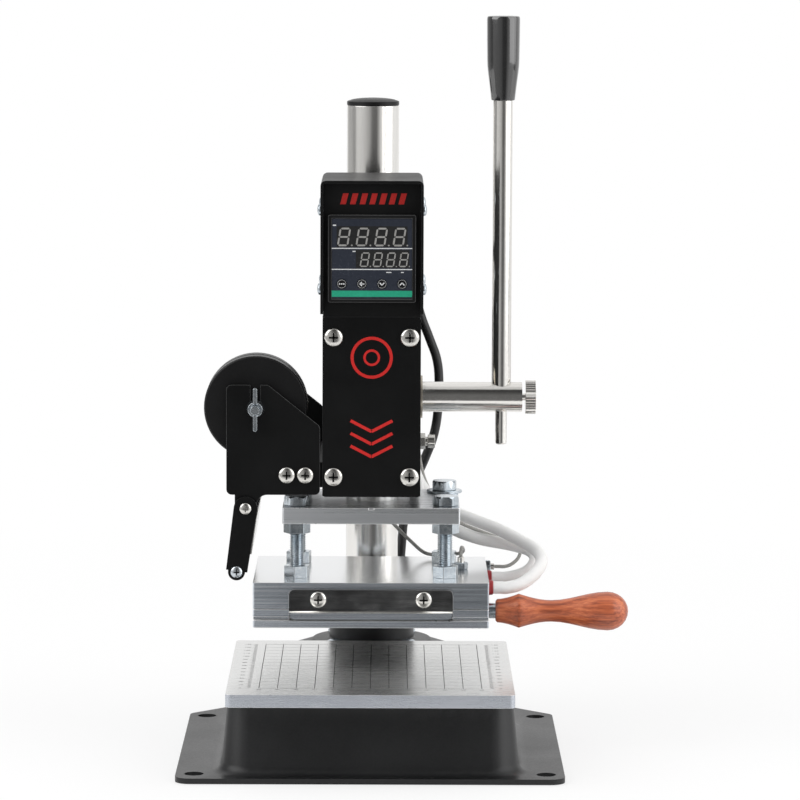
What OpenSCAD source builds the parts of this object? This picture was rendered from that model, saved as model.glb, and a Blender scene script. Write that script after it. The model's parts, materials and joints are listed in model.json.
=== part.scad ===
// Bench-top hot foil stamping press with a heated plate, a rack and pinion head and a foil feeder.
// Millimetres. +X is right, +Y is to the back, +Z is up.
// The origin is on the floor, at the centre of the four mounting holes.

/* [Base] */
// Spacing of the mounting holes across the base
hole_pitch_x = 190; // [180:1:230]
// Spacing of the mounting holes front to back
hole_pitch_y = 170; // [160:1:200]
// Diameter of the mounting holes
hole_d = 10.5; // [8:0.5:12]
// From a hole's centre to the flange's side edge
hole_side = 10; // [8:0.5:14]
// From a hole's centre to the flange's front edge
hole_front = 13.5; // [11:0.5:18]
// From a hole's centre to the start of the cut rear corner
hole_rear = 7; // [4:0.5:12]
// Corner radius of the flange
flange_r = 8; // [4:1:14]
// Thickness of the pressed base steel
base_t = 3; // [2:0.5:4]
// Height of the raised part of the base
base_h = 43; // [36:1:60]
// Flange showing beside the raised part
ledge_side = 18.4; // [17:0.2:24]
// Flange showing in front of the raised part
ledge_front = 3.5; // [2:0.5:8]
// Flange showing behind the raised part
ledge_rear = 8; // [5:1:10]
// Where the raised part starts to narrow, behind the middle of the bench holes
foot_narrow = 59; // [54:1:64]
// Corner radius at the foot of the raised part
foot_r = 22; // [19:1:30]
// Fillet where the raised part meets the flange
foot_fillet = 6; // [3:0.5:8]
// Rounding along the top edge of the raised part
top_fillet = 5; // [3:0.5:7]
// Lean of the raised part's walls from foot to top
wall_lean = 3; // [1:0.5:5]

/* [Work table] */
// Width of the table
table_w = 155; // [130:1:170]
// Depth of the table
table_d = 174.5; // [150:0.5:190]
// Thickness of the table
table_t = 7; // [6:0.5:12]
// Table centre, ahead of the mounting holes' centre
table_ahead = 18.75; // [10:0.25:25]
// Corner radius of the table
table_r = 3; // [1:0.5:8]
// Spacing of the table screws across
table_screw_x = 100; // [80:1:120]
// Spacing of the table screws front to back
table_screw_y = 110; // [90:1:120]

/* [Column] */
// Diameter of the steel column
column_d = 30; // [26:0.5:34]
// Wall of the column tube
column_wall = 4; // [3:0.5:6]
// Column axis, behind the mounting holes' centre
column_y = 104; // [100:1:112]
// Column length above the base
column_h = 312.5; // [305:0.5:380]
// Diameter of the hub that holds the column
hub_d = 49; // [44:1:56]
// Height of the hub
hub_h = 36; // [25:1:38]
// Diameter of the hub's flange
hub_flange_d = 70; // [66:1:70]
// Thickness of the hub's flange
hub_flange_t = 3; // [2:0.5:6]
// Rim height of the column cap
cap_rim = 2.3; // [1.5:0.1:4]
// Dome height of the column cap
cap_dome = 2; // [1:0.1:4]

/* [Head] */
// Underside of the head above the floor
head_z = 145.3; // [144:0.1:165]
// Width of the head
head_w = 54; // [52:0.5:60]
// Height of the head
head_h = 99.5; // [98.5:0.5:110]
// From the ram's axis forward to the head's front
head_fore = 39; // [30:1:45]
// From the pinion's axis back to the head's back
head_aft = 21; // [19:1:23]
// Thickness of the front cover
cover_t = 3; // [2:0.5:4]
// Corner radius of the front cover
cover_r = 1.5; // [0.5:0.1:3]
// Cover screws in from the sides
cover_in_x = 6.1; // [5.6:0.1:9]
// Cover screws in from the top and bottom
cover_in_z = 11.2; // [6:0.1:16]
// Half width of the neck between head and column clamp
neck_half = 14; // [10:0.5:14]
// Outside diameter of the column clamp
clamp_d = 54; // [46:1:54]
// Height of the column clamp
clamp_h = 70; // [50:1:75]
// Underside of the column clamp above the head's underside
clamp_up = 20; // [10:1:25]
// Slit in the column clamp
clamp_slit = 2.5; // [1.5:0.5:4]
// Length of the ears behind the column
clamp_ear = 34; // [32:1:40]

/* [Ram and rack] */
// Ram axis, behind the mounting holes' centre
ram_y = 20; // [17:1:22]
// Diameter of the ram
ram_d = 28; // [26:0.5:30]
// Top of the ram below the head's top
ram_below = 7.8; // [7.5:0.1:12]
// Lock screw's height above the head's underside
lock_up = 26; // [22:0.5:26]
// Bore for the return spring
spring_bore_d = 12; // [11:0.5:12.5]
// Floor left under the spring bore
ram_floor = 11; // [9:0.5:16]
// Tooth size of rack and pinion (module)
tooth_m = 2; // [1.9:0.05:2.1]
// Teeth on the pinion
pinion_teeth = 14; // [13:1:14]
// Play between rack and pinion teeth
tooth_play = 0.5; // [0.3:0.05:0.8]
// From the ram's axis to the rack's pitch line
rack_off = 11; // [10.8:0.1:11.3]
// Width of the pinion
pinion_w = 16; // [12:0.5:18]
// Lever swing from rest to full press, degrees
lever_swing = 80; // [60:1:80]
// Wire of the return spring
spring_wire = 1.2; // [0.8:0.1:1.4]
// Curls of the return spring
spring_curls = 14; // [8:1:20]
// Diameter of the pin that holds the spring
spring_pin_d = 4; // [3:0.5:4.5]

/* [Shaft and lever] */
// Shaft axis above the head's underside
shaft_up = 48.3; // [44:0.1:52]
// Diameter of the shaft
shaft_d = 17; // [15:0.5:18]
// Shaft length outside the head
shaft_out = 57.7; // [50:0.1:70]
// Wall of the plain bushes
bush_wall = 2; // [1.5:0.1:2.4]
// Flange diameter of the shaft bush
bush_flange_d = 24; // [23:0.5:30]
// Flange thickness of the shaft bush
bush_flange_t = 1.5; // [1:0.1:2.5]
// Lever axis, out from the head's side
lever_out = 46; // [40:0.5:48]
// Diameter of the lever rod
rod_d = 11; // [9:0.5:12]
// Lever rod from the shaft's axis to the grip
rod_len = 167.4; // [120:0.1:220]
// Diameter of the rod's lower end
tail_d = 6.6; // [5:0.1:8]
// Length of the rod's lower end below the shaft's axis
tail_len = 26.8; // [16:0.1:40]
// Length of the grip
grip_len = 47.3; // [35:0.1:70]
// Diameter of the grip at its lower end
grip_low_d = 14; // [13:0.5:16]
// Diameter of the grip near its top
grip_top_d = 20; // [16:0.5:24]
// Diameter of the thumbscrew's head
thumb_d = 19; // [15:0.5:24]
// Thickness of the thumbscrew's head
thumb_t = 5.8; // [4:0.1:8]
// Gap between thumbscrew head and shaft end
thumb_gap = 1.9; // [1:0.1:4]
// Diameter of the thumbscrew's stud
thumb_stud_d = 4; // [3:0.5:5]

/* [Control box] */
// Width of the box's cover
box_w = 56.4; // [53.2:0.2:62]
// Height of the cover
box_h = 73; // [66:0.5:90]
// Front of the cover, ahead of the head's front
box_ahead = 8; // [6:0.5:12]
// Depth of the cover
box_d = 79; // [76:0.5:84]
// Gap from the head's top to the cover's lower edge
box_gap = 1.9; // [1.6:0.1:3]
// Sheet thickness of the box
sheet_t = 1.5; // [1:0.1:1.5]
// Front panel set back from the cover's edge
panel_back = 5; // [5:0.1:7]
// Screws in from the panels' faces
box_screw_in = 6; // [4.5:0.1:8]
// Screws in from the cover's lower edge
box_screw_low = 13; // [8:0.5:20]
// Screws in from the cover's top
box_screw_top = 16.5; // [10:0.5:24]

/* [Controller] */
// Face size of the panel controller
ctl_w = 48; // [46:0.5:50]
// Controller centre above the cover's lower edge
ctl_up = 30.4; // [28:0.1:40]
// Thickness of the bezel
bezel_t = 4.2; // [4:0.1:5]
// Size of the controller's body behind the panel
ctl_body_w = 44.6; // [42:0.1:45]
// Depth of the controller's body behind the panel
ctl_body_d = 60; // [40:1:62]
// Rim of the bezel round the face
bezel_rim = 2; // [1.5:0.1:3]
// Thickness of the clear face
face_t = 1; // [0.8:0.1:1.2]
// Diameter of the keys
key_d = 4.9; // [4:0.1:5.4]
// Spacing of the keys
key_pitch = 11; // [8:0.1:11.4]
// Keys below the controller's centre
key_down_z = 13.8; // [10:0.1:15]
// Travel of the keys
key_travel = 0.5; // [0.3:0.1:0.8]

/* [Switch and gland] */
// Switch centre, left of the middle
switch_x = 12; // [11.5:0.5:14]
// Switch and gland centre height above the cover's lower edge
switch_up = 40; // [36:1:50]
// Width of the rocker
rocker_w = 14; // [10:0.5:15]
// Height of the rocker
rocker_h = 12; // [9:0.5:13]
// Width of the switch's rim
switch_rim = 3; // [2:0.5:4]
// Diameter of the rocker's pivot pins
rocker_pin_d = 3; // [2:0.1:3.6]
// Tilt of the rocker either side of the middle, degrees
rocker_tilt = 8; // [5:1:9]
// Gland centre, right of the middle
gland_x = 19; // [18:0.5:19]
// Gland centre height above the cover's lower edge
gland_up = 25; // [24:0.5:28]
// Length of the strain relief behind the box
gland_len = 30; // [24:1:40]

/* [Foil feeder] */
// Gap from the head's side to the feeder plates
foil_gap = 1.3; // [1:0.1:3]
// Width of the feeder plates
foil_w = 51.5; // [48:0.5:58]
// Top of the feeder plates above the head's underside
foil_top = 61.8; // [56:0.1:70]
// Height of the plates' right edge above the head's underside
foil_side = 39; // [34:0.5:46]
// Width of the plates' top edge
foil_top_w = 22.9; // [22:0.1:25]
// Thickness of the feeder plates
foil_t = 2; // [1.5:0.1:2.5]
// Distance between the outsides of the feeder plates
foil_span = 102; // [90:1:105]
// Spindle axis in from the plates' left edge
spindle_in = 16; // [14:0.1:17]
// Spindle axis above the head's underside
spindle_up = 48.7; // [46:0.1:52]
// Diameter of the foil spindle
spindle_d = 5; // [4:0.1:6]
// Diameter of the foil discs
disc_d = 57; // [40:1:59]
// Rim width of the foil discs
disc_w = 10; // [6:0.5:12]
// Web thickness of the foil discs
disc_web = 3.5; // [2:0.1:5]
// Space left between the two discs when they are pushed together
disc_apart = 2; // [1:0.5:6]
// Bar that carries the plates, out from the head's side
bar_w = 29; // [26:0.5:29]
// Height of the bar
bar_h = 14; // [12:0.5:16]
// Underside of the bar above the head's underside
bar_up = 5; // [4:0.5:8]
// Arm pivot below the head's underside
pivot_down = 6.4; // [6:0.1:8]
// Arm pivot in from the plates' left edge
pivot_in = 10.6; // [10:0.1:14]
// Length of the arms between pivot and roller
arm_len = 35.6; // [28:0.1:36]
// Width of the arms at the pivot
arm_w = 13; // [11:0.5:14]
// Lean of the arms at rest, degrees
arm_lean = 8; // [6:0.5:12]
// Thickness of the guide strip along the arms
guide_t = 1; // [0.8:0.1:1.6]
// Length of the guide strip
guide_len = 20; // [14:0.5:27]
// Diameter of the guide roller
roller_d = 7; // [6:0.5:8]
// Diameter of the roller's axle
roller_axle_d = 3; // [2.5:0.1:4]

/* [Press plates] */
// Gap from the head's underside to the upper plate
plate_gap = 6.4; // [6:0.1:9]
// Width of the upper plate
upper_w = 98; // [94:0.5:104]
// Depth of the upper plate
upper_d = 80; // [74:0.5:84]
// Thickness of the upper plate
upper_t = 9; // [8:0.5:12]
// Spacing of the levelling bolts across
bolt_x = 82.4; // [78:0.2:84]
// Spacing of the levelling bolts front to back
bolt_y = 55; // [50:1:60]
// Diameter of the levelling bolts
bolt_d = 8; // [6:0.5:8]
// Clear height between the upper plate and the heated block
post_h = 31.2; // [28:0.1:36]
// Width of the heated block
block_w = 130; // [120:0.5:132]
// Depth of the heated block
block_d = 100; // [92:0.5:104]
// Thickness of the heated block
block_t = 14.5; // [14:0.5:18]
// Thickness of the die plate
die_t = 10.4; // [9:0.1:12]
// Width of the guide clips
clip_w = 90.4; // [70:0.2:100]
// Sheet thickness of the clips
clip_t = 1.2; // [0.8:0.1:1.5]
// Height of the clips on the block's face
clip_on = 10.9; // [9:0.1:12]
// Height of the clips over the die plate
clip_under = 6.2; // [5:0.1:6.5]
// Depth of the die plate's grooves
groove_d = 2.7; // [2:0.1:4]
// Spacing of the clip screws
clip_screw_x = 58; // [40:1:64]
// Diameter of the cartridge heaters
heater_d = 9.5; // [8:0.1:10]
// Spacing of the cartridge heaters
heater_pitch = 36; // [24:1:36]
// Diameter of the heater leads' sleeves
lead_d = 7; // [5:0.1:7]

/* [Handle] */
// Length of the wooden handle
handle_len = 74; // [60:0.5:90]
// Diameter of the handle's end at the collar
handle_end_d = 13; // [11:0.5:14]
// Diameter of the handle's ridge
handle_ridge_d = 19; // [15:0.5:19]
// Diameter of the handle's waist
handle_waist_d = 12; // [10:0.5:14]
// Diameter of the handle's bulb
handle_bulb_d = 21.6; // [18:0.2:24]
// Diameter of the collar on the handle's stud
collar_d = 8.6; // [7:0.1:10]
// Length of the collar
collar_len = 4.3; // [3:0.1:8]
// Handle axis, ahead of the block's middle
handle_ahead = 20; // [15:1:25]

/* [Mains cord] */
// Diameter of the mains cord
cord_d = 5.4; // [5:0.1:5.6]
// Gap between the turns of the coil
coil_gap = 0.6; // [0.5:0.05:0.7]
// Turns in each layer of the coil
coil_turns = 2.875; // [1.875:0.5:2.875]
// Radius at the middle of the coil's turns
coil_mid_r = 30; // [28:0.5:30]
// Straight cord between coil and plug
plug_tail = 32; // [32:1:40]
// Length of the plug's body
plug_len = 34; // [28:1:38]
// Width of the plug's body
plug_w = 21; // [17:0.5:22]

/* [Fasteners and fits] */
// Radial clearance of running shafts and bushes
run_gap = 0.05; // [0.02:0.01:0.1]
// Clearance between moving neighbours
move_gap = 0.3; // [0.3:0.05:0.4]
// Radial clearance of screws in their holes
screw_gap = 0.1; // [0.05:0.01:0.2]
// Thread diameter of the larger screws
screw_d = 5; // [4:0.1:5]
// Head diameter of the larger screws
screw_head_d = 10.4; // [9:0.1:11]
// Head height of the larger screws
screw_head_h = 3; // [2.4:0.1:3.4]
// Thread diameter of the middle screws
mid_d = 4; // [3:0.1:4]
// Head diameter of the middle screws
mid_head_d = 9.2; // [8:0.1:9.6]
// Head height of the middle screws
mid_head_h = 2.6; // [2:0.1:3]
// Spacing of the paired feeder screws
pair_pitch = 10.2; // [10:0.1:11]
// Thread diameter of the smaller screws
small_d = 3; // [2.5:0.1:3]
// Head diameter of the smaller screws
small_head_d = 6.6; // [5:0.1:7]
// Head height of the smaller screws
small_head_h = 1.9; // [1.5:0.1:2.4]

/* [Hidden] */
$fn = 64;

// Finishes
black_paint = "#1b1c1e";
bare_aluminium = "#b9bcc0";
bright_steel = "#cfd1d3";
zinc_steel = "#aab4bd";
black_plastic = "#151515";
bronze = "#b08d57";
white_sleeve = "#f0efe9";

// Base outline
tail_room = 21;
base_w = hole_pitch_x + 2 * hole_side;
base_fore = -hole_pitch_y / 2 - hole_front;
shoulder_y = hole_pitch_y / 2 + hole_rear;
tail_y = column_y + hub_flange_d / 2 + tail_room;
tail_x = base_w / 2 - (tail_y - shoulder_y);
flange_pts = mirror_x([[base_w / 2, base_fore], [base_w / 2, shoulder_y], [tail_x, tail_y]]);
foot_x = base_w / 2 - ledge_side;
foot_tail_y = tail_y - ledge_rear;
foot_tail_x = tail_x - ledge_rear * (sqrt(2) - 1);
foot_pts = mirror_x([[foot_x, base_fore + ledge_front], [foot_x, foot_narrow],
                     [foot_tail_x, foot_tail_y]]);
fillet_end = 80;
top_inset = foot_fillet * sin(fillet_end) + wall_lean + top_fillet * sin(fillet_end);
arc_n = 6;

// Heights and depths that several pieces share
table_y = -table_ahead;
column_top = base_h + column_h;
head_front = ram_y - head_fore;
pinion_r = tooth_m * pinion_teeth / 2;
pinion_y = ram_y + rack_off + pinion_r;
head_back = pinion_y + head_aft;
head_top = head_z + head_h;
head_x = head_w / 2;
clamp_z = head_z + clamp_up;
shaft_z = head_z + shaft_up;
shaft_end = head_x + shaft_out;
lever_x = head_x + lever_out;
press_travel = pinion_r * lever_swing * PI / 180;
ram_top = head_top - ram_below;
upper_top = head_z - plate_gap;
upper_z = upper_top - upper_t;
block_top = upper_z - post_h;
block_z = block_top - block_t;
die_top = block_z - move_gap;
die_z = die_top - die_t;
block_front = ram_y - block_d / 2;
block_back = ram_y + block_d / 2;

// Rack and pinion
pressure_angle = 20;
tooth_pitch = PI * tooth_m;
tip_r = pinion_r + tooth_m;
root_r = pinion_r - 1.25 * tooth_m;
base_circle_r = pinion_r * cos(pressure_angle);
rack_tip = 0.75 * tooth_m;
rack_root = 1.25 * tooth_m;
rack_first = -2;
rack_last = ceil(press_travel / tooth_pitch) + 2;

// Bushes
bush_r = shaft_d / 2 + bush_wall;
shaft_run_r = shaft_d / 2 + run_gap;
ram_run_r = ram_d / 2 + run_gap;
shaft_bush_len = head_x - pinion_w / 2 - 1;
ram_bush_r = ram_d / 2 + bush_wall + 1;
ram_bush_low = 18;
ram_bush_high = 13;
ram_bush_up = shaft_up + tip_r + 1.4;

// Return spring
spring_r = spring_bore_d / 2 - spring_wire / 2 - 0.8;
spring_pin_z = ram_top + 1.7 + spring_pin_d / 2;
spring_low = upper_top + ram_floor + move_gap + spring_wire / 2;
spring_high = spring_pin_z - spring_pin_d / 2 - move_gap - spring_wire / 2;
spring_path = [for (i = [0:8 * spring_curls])
  [spring_r * cos(45 * i), ram_y + spring_r * sin(45 * i),
   spring_low + (spring_high - spring_low) * i / (8 * spring_curls)]];

// Control box
box_front = head_front - box_ahead;
box_back = box_front + box_d;
box_z = head_top + box_gap;
box_top = box_z + box_h;
box_in = box_w / 2 - sheet_t;
bend_r = 2 * sheet_t;
panel_fit = 0.2;
tray_x = box_in - panel_fit;
tray_top = box_top - sheet_t - panel_fit;
panel_y = box_front + panel_back;
tab_len = 2 * box_screw_in;
box_screw_y = [panel_y + box_screw_in, box_back - box_screw_in];
box_screw_z = [box_z + box_screw_low, box_top - box_screw_top];
ctl_z = box_z + ctl_up;
ctl_y = panel_y - bezel_t;
face_y = ctl_y + panel_fit;
switch_wall = 2;
bezel_r = 1.2;
key_well = 3;
key_proud = 0.4;
key_long = 2.8;
switch_z = box_z + switch_up;
rocker_pivot_y = box_back - 2;
rocker_room = 1.2;
gland_z = box_z + gland_up;
gland_end = box_back + gland_len;

// Foil feeder
foil_right = -head_x - foil_gap;
foil_left = foil_right - foil_w;
foil_front = head_front - cover_t;
foil_back = foil_front + foil_span;
foil_low = head_z + 1;
spindle_x = foil_left + spindle_in;
spindle_z = head_z + spindle_up;
pivot_x = foil_left + pivot_in;
pivot_z = head_z - pivot_down;
bar_z = head_z + bar_up;
bar_mid_x = -head_x - bar_w / 2;
bar_bolt_y = [head_front + 20, pinion_y];
pair_z = bar_z + bar_h / 2;
arm_t = 1.5;
arm_front = foil_front - move_gap - arm_t;
arm_back = foil_back + move_gap + arm_t;
lug_r = 4.7;
guide_down = 5;
arm_cut = 0.5;

// Press plates
bolt_head_h = 5.3;
bolt_af = 13;
nut_h = 6.5;
bolt_deep = 9;
washer_t = 1.5;
bolt_spots = [for (i = [-1, 1], j = [-1, 1])
  [i * bolt_x / 2, ram_y + j * bolt_y / 2, i + j == 2 ? washer_t : 0]];
ram_screw_d = 8;
ram_screw_head_d = 13;
ram_screw_head_h = 5;
heater_z = block_z + block_t / 2;
heater_y = [ram_y - heater_pitch / 2, ram_y + heater_pitch / 2];
seal_len = 3;
seal_d = lead_d + 1;
clip_low = block_z - clip_under;
clip_r = 3;
lip_d = groove_d - move_gap;
clip_screw_z = block_z + clip_on / 2;
handle_y = ram_y - handle_ahead;
handle_z = die_z + die_t / 2;
stud_d = 6;
handle_x = block_w / 2 + collar_len;
probe_x = bolt_x / 2 + 9.1;
probe_y = ram_y + 2;
side_probe_y = block_back - 11;
side_probe_z = block_top - 4;

// Routes of the leads that are held at both ends
// The lower points go with the heated block, the upper ones with the control box
lead_front = concat(
  [for (x = [0, 4, 8]) [block_w / 2 + seal_len + x, heater_y[0], heater_z]],
  above(block_top, [[84, 3.5, -5.2], [91.5, 8, -0.2], [95.5, 17, 5.3], [93.2, 30, 9.3], [85, 43, 12.8],
                    [72, 54.5, 18], [58, 63, 22.3], [44, 70, 27.3], [33, 76.6, 34.3]]),
  above(box_z, [[25.6, 79.2, -102.7], [21.5, 79.3, -84.7], [19.7, 79.3, -64.7], [19.5, 79.3, -40.7],
                [19.5, 79.3, -12.7], [15.8, 78, 2.3], [9.5, 72.5, 12.3], [5, 64, 16.3],
                [4, box_back + 2, 16.8], [4, box_back - 6, 16.8]]));
lead_rear = concat(
  [for (x = [0, 4, 8]) [block_w / 2 + seal_len + x, heater_y[1], heater_z]],
  above(block_top, [[84.5, 38.2, -5.4], [90.5, 40, -1.9], [93, 45, 2.8], [89.5, 51.5, 6.6], [78, 56.2, 9.2],
                    [62, 59.5, 11.8], [48, 63.5, 16.3], [37, 67.2, 23.3], [28.2, 70, 34.3]]),
  above(box_z, [[22.9, 71.2, -92.7], [19.5, 71.3, -64.7], [19, 71.3, -36.7], [18, 71.2, -11.7],
                [15.5, 69, 3.3], [14, 61.5, 9.3], [14, box_back + 2, 11.3], [14, box_back - 6, 11.8]]));
probe_lead = concat(
  above(block_top, [[probe_x, probe_y, 7], [50.3, 23.2, 9.9], [50.8, 27, 11.5], [51.6, 36, 9.8],
                    [52, 46, 6.8], [50.5, 54.5, 4.3], [45.5, 59, 2.9], [39, 60.6, 2.4], [30.4, 61.5, 3.4],
                    [21.8, 63.5, 10.3], [13.2, 67, 18.5], [5, 71, 26.8], [-3, 74, 36.8], [-10, 75.5, 48.3]]),
  above(box_z, [[-15.5, 75, -86.7], [-18, 74, -64.7], [-18, 73, -36.7], [-18, 71.5, -12.7],
                [-16, 68, 1.3], [-12.5, 61, 9.3], [-10.5, box_back + 2, 11.8], [-10, box_back - 6, 12.3]]));
side_lead = concat(
  [for (x = [5, 8, 11]) [block_w / 2 + x, side_probe_y, side_probe_z]],
  above(block_top, [[80, 59.8, -2.7], [84, 62.5, 0.8], [84.5, 66.5, 4.8], [78, 71, 8.8], [64, 75.5, 13.3],
                    [48, 79.5, 19.8], [37, 83.3, 30.3]]),
  above(box_z, [[29.5, 86, -102.7], [26.2, 87, -82.7], [25, 86.5, -62.7], [25, 85.5, -36.7],
                [24, 83.5, -14.7], [23, 77.5, -1.7], [23, 67, 5.3],
                [23, box_back + 2, 7.3], [23, box_back - 6, 7.8]]));
function above(z, p) = [for (q = p) [q.x, q.y, z + q.z]];
probe_lead_d = 2;
lead_room = 1.2;

// Mains cord: route from the strain relief to the floor, coil and plug
coil_x = 8;
coil_y = 205;
coil_step = cord_d + coil_gap;
coil_out = coil_mid_r + coil_turns * coil_step / 2;
coil_in = coil_mid_r - coil_turns * coil_step / 2;
coil_climb = 180;
coil_layer = 360 * coil_turns;
coil_sweep = 2 * coil_layer + coil_climb;
coil_z = cord_d / 2;
plug_h = 2 * (coil_z + coil_step) - 0.4;
cord_path = concat(
  [for (y = [0, 3, 6]) [gland_x, gland_end + y, gland_z]],
  [[19, 99, 269], [21, 110, 261], [24.5, 117.5, 247], [28, 120.5, 233], [33.5, 121, 218.5],
   [37.5, 121, 207], [38.8, 121, 194], [38.3, 121.5, 178], [36, 123, 163], [31.5, 126, 150],
   [25, 131, 134], [19.5, 136, 115], [17.5, 139, 96], [16.5, 144, 74], [17, 150, 52],
   [23, 158.5, 31], [35, 169, 14], [43.5, 182, 5]],
  [for (k = [2.4, 1.7, 1]) [coil_x + coil_out, coil_y - k * cord_d, coil_z]]);
coil_path = concat(
  [[coil_x + coil_out, coil_y - cord_d, coil_z]],
  [for (i = [0:coil_sweep / 15]) coil_point(15 * i)],
  [[coil_x - plug_tail, coil_y + coil_out, coil_z + coil_step]]);

// Least gap of each wound tube to itself, measured between the rings of its path
function least_gap(p, d, apart) = min([for (i = [0:len(p) - 1 - apart])
  for (j = [i + apart:len(p) - 1]) norm(p[i] - p[j])]) - d;
function path_len(p) = let (steps = [for (i = [1:len(p) - 1]) norm(p[i] - p[i - 1])])
  steps * [for (s = steps) 1];
echo(coil_least_gap = least_gap(coil_path, cord_d, 12));
echo(spring_least_gap = least_gap(spring_path, spring_wire, 6));
echo(cord_length = path_len(curve(cord_path, 3)) + path_len(coil_path));

// Point of the coil at a wound angle: in along the floor, up half a turn, out again on top
function coil_point(a) =
  let (climbed = min(1, max(0, (a - coil_layer) / coil_climb)))
  let (r = coil_in + coil_step * (abs(a - coil_sweep / 2) - coil_climb / 2) / 360)
  [coil_x + r * cos(a), coil_y + r * sin(a), coil_z + coil_step * (1 - cos(180 * climbed)) / 2];

// Corner list completed by its mirror image, anticlockwise
function mirror_x(p) = concat(p, [for (i = [len(p) - 1:-1:0]) [-p[i].x, p[i].y]]);

function unit(v) = v / norm(v);

// Convex outline drawn in by a distance, with rounded corners
function ring(p, inset, r) = [for (i = [0:len(p) - 1])
  let (before = unit(p[i] - p[(i + len(p) - 1) % len(p)]))
  let (after = unit(p[(i + 1) % len(p)] - p[i]))
  let (n1 = [before.y, -before.x], n2 = [after.y, -after.x], half = unit(n1 + n2))
  let (centre = p[i] - half * (inset + r) / (half * n1))
  let (from = atan2(n1.y, n1.x), turn = acos(n1 * n2))
  for (k = [0:arc_n]) centre + r * [cos(from + turn * k / arc_n), sin(from + turn * k / arc_n)]];

function box_pts(w, d) = [[-w / 2, -d / 2], [w / 2, -d / 2], [w / 2, d / 2], [-w / 2, d / 2]];

// Smooth curve through hand-set points
function curve(p, steps) = [for (i = [0:len(p) - 2])
  let (a = p[max(i - 1, 0)], b = p[i], c = p[i + 1], d = p[min(i + 2, len(p) - 1)])
  for (s = [0:steps - (i == len(p) - 2 ? 0 : 1)])
    let (t = s / steps)
    0.5 * (2 * b + (c - a) * t + (2 * a - 5 * b + 4 * c - d) * t ^ 2 + (3 * b - a - 3 * c + d) * t ^ 3)];

// Rings of a tube along a path, without twist
function tangents(p) = [for (i = [0:len(p) - 1]) unit(p[min(i + 1, len(p) - 1)] - p[max(i - 1, 0)])];
function carry(t, u, i = 0) = i == len(t) ? [] :
  let (w = unit(u - (u * t[i]) * t[i])) concat([w], carry(t, w, i + 1));
function tube_rings(p, r, n) =
  let (t = tangents(p), u = carry(t, abs(t[0].z) < 0.9 ? [0, 0, 1] : [1, 0, 0]))
  [for (i = [0:len(p) - 1]) let (v = cross(t[i], u[i]))
    [for (k = [0:n - 1]) p[i] + r * (cos(360 * k / n) * u[i] + sin(360 * k / n) * v)]];

function lift(p, z) = [for (q = p) [q.x, q.y, z]];

// Profile of the raised base: inset and height, for the outer skin (0) or the inner one
function base_profile(in) = concat(
  [[in, in > 0 ? -1 : 0]],
  [for (a = [0:fillet_end / 4:fillet_end])
    [in + foot_fillet * sin(a), base_t + foot_fillet * (1 - cos(a)) - in]],
  [for (a = [fillet_end:-fillet_end / 4:0])
    [in + top_inset - top_fillet * sin(a), base_h - top_fillet * (1 - cos(a)) - in]]);

// Half angle of a pinion tooth at a radius
function involute(a) = tan(a) * 180 / PI - a;
function tooth_half(r) = 90 / pinion_teeth - tooth_play / 4 / pinion_r * 180 / PI
  + involute(pressure_angle) - involute(acos(min(1, base_circle_r / r)));
flank_r = [for (k = [0:4]) base_circle_r + (tip_r - base_circle_r) * k / 4];
pinion_pts = [for (k = [0:pinion_teeth - 1])
  let (mid = 180 + 360 * k / pinion_teeth)
  each concat(
    [polar(root_r, mid - tooth_half(base_circle_r))],
    [for (r = flank_r) polar(r, mid - tooth_half(r))],
    [for (i = [4:-1:0]) polar(flank_r[i], mid + tooth_half(flank_r[i]))],
    [polar(root_r, mid + tooth_half(base_circle_r))])];

function polar(r, a) = [r * cos(a), r * sin(a)];

// Half profile of a domed head
function dome(r, h) = concat([[0, 0], [r, 0]], [for (k = [0:arc_n])
  [r * cos(90 * k / arc_n), h * (0.35 + 0.65 * sin(90 * k / arc_n))]]);

// Closed skin over rings of equal count
module skin(rings) {
  n = len(rings[0]);
  last = (len(rings) - 1) * n;
  polyhedron(
    points = [for (r = rings) each r],
    faces = concat(
      [[for (k = [0:n - 1]) k]],
      [[for (k = [n - 1:-1:0]) last + k]],
      [for (i = [0:len(rings) - 2], k = [0:n - 1], half = [0, 1])
        let (a = i * n + k, b = i * n + (k + 1) % n)
        half == 0 ? [a, a + n, b + n] : [a, b + n, b]]));
}

module tube(path, d, sides) skin(tube_rings(path, d / 2, sides));

// Plate lying flat, standing across the depth, or standing across the width
module slab(w, d, h, r) linear_extrude(h) polygon(ring(box_pts(w, d), 0, r));
module upright(y, t) translate([0, y + t, 0]) rotate([90, 0, 0]) linear_extrude(t) children();
module sideways(x, t) translate([x, 0, 0]) rotate([90, 0, 90]) linear_extrude(t) children();

// Turn a piece drawn along +Z to another direction
module to_front(p) translate(p) rotate([90, 0, 0]) children();
module to_back(p) translate(p) rotate([-90, 0, 0]) children();
module to_right(p) translate(p) rotate([0, 90, 0]) children();
module to_left(p) translate(p) rotate([0, -90, 0]) children();

// Domed screw with a cross recess, its head above z = 0
module screw(d, len, head_d, head_h) {
  difference() {
    union() {
      translate([0, 0, -len]) cylinder(d = d, h = len + head_h / 4);
      rotate_extrude() polygon(dome(head_d / 2, head_h));
    }
    for (a = [0, 90]) rotate(a) translate([-head_d / 4, -head_d / 20, head_h / 2])
      cube([head_d / 2, head_d / 10, head_h]);
  }
}

module mid_screw(len) screw(mid_d, len, mid_head_d, mid_head_h);
module small_screw(d, len) screw(d, len, small_head_d, small_head_h);

module hexagon(af, h) cylinder(d = af / cos(30), h = h, $fn = 6);
module nut(d, af, h) difference() {
  hexagon(af, h);
  translate([0, 0, -1]) cylinder(d = d + 2 * screw_gap, h = h + 2);
}
module hole(d, h) translate([0, 0, -1]) cylinder(d = d, h = h + 2);

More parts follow.
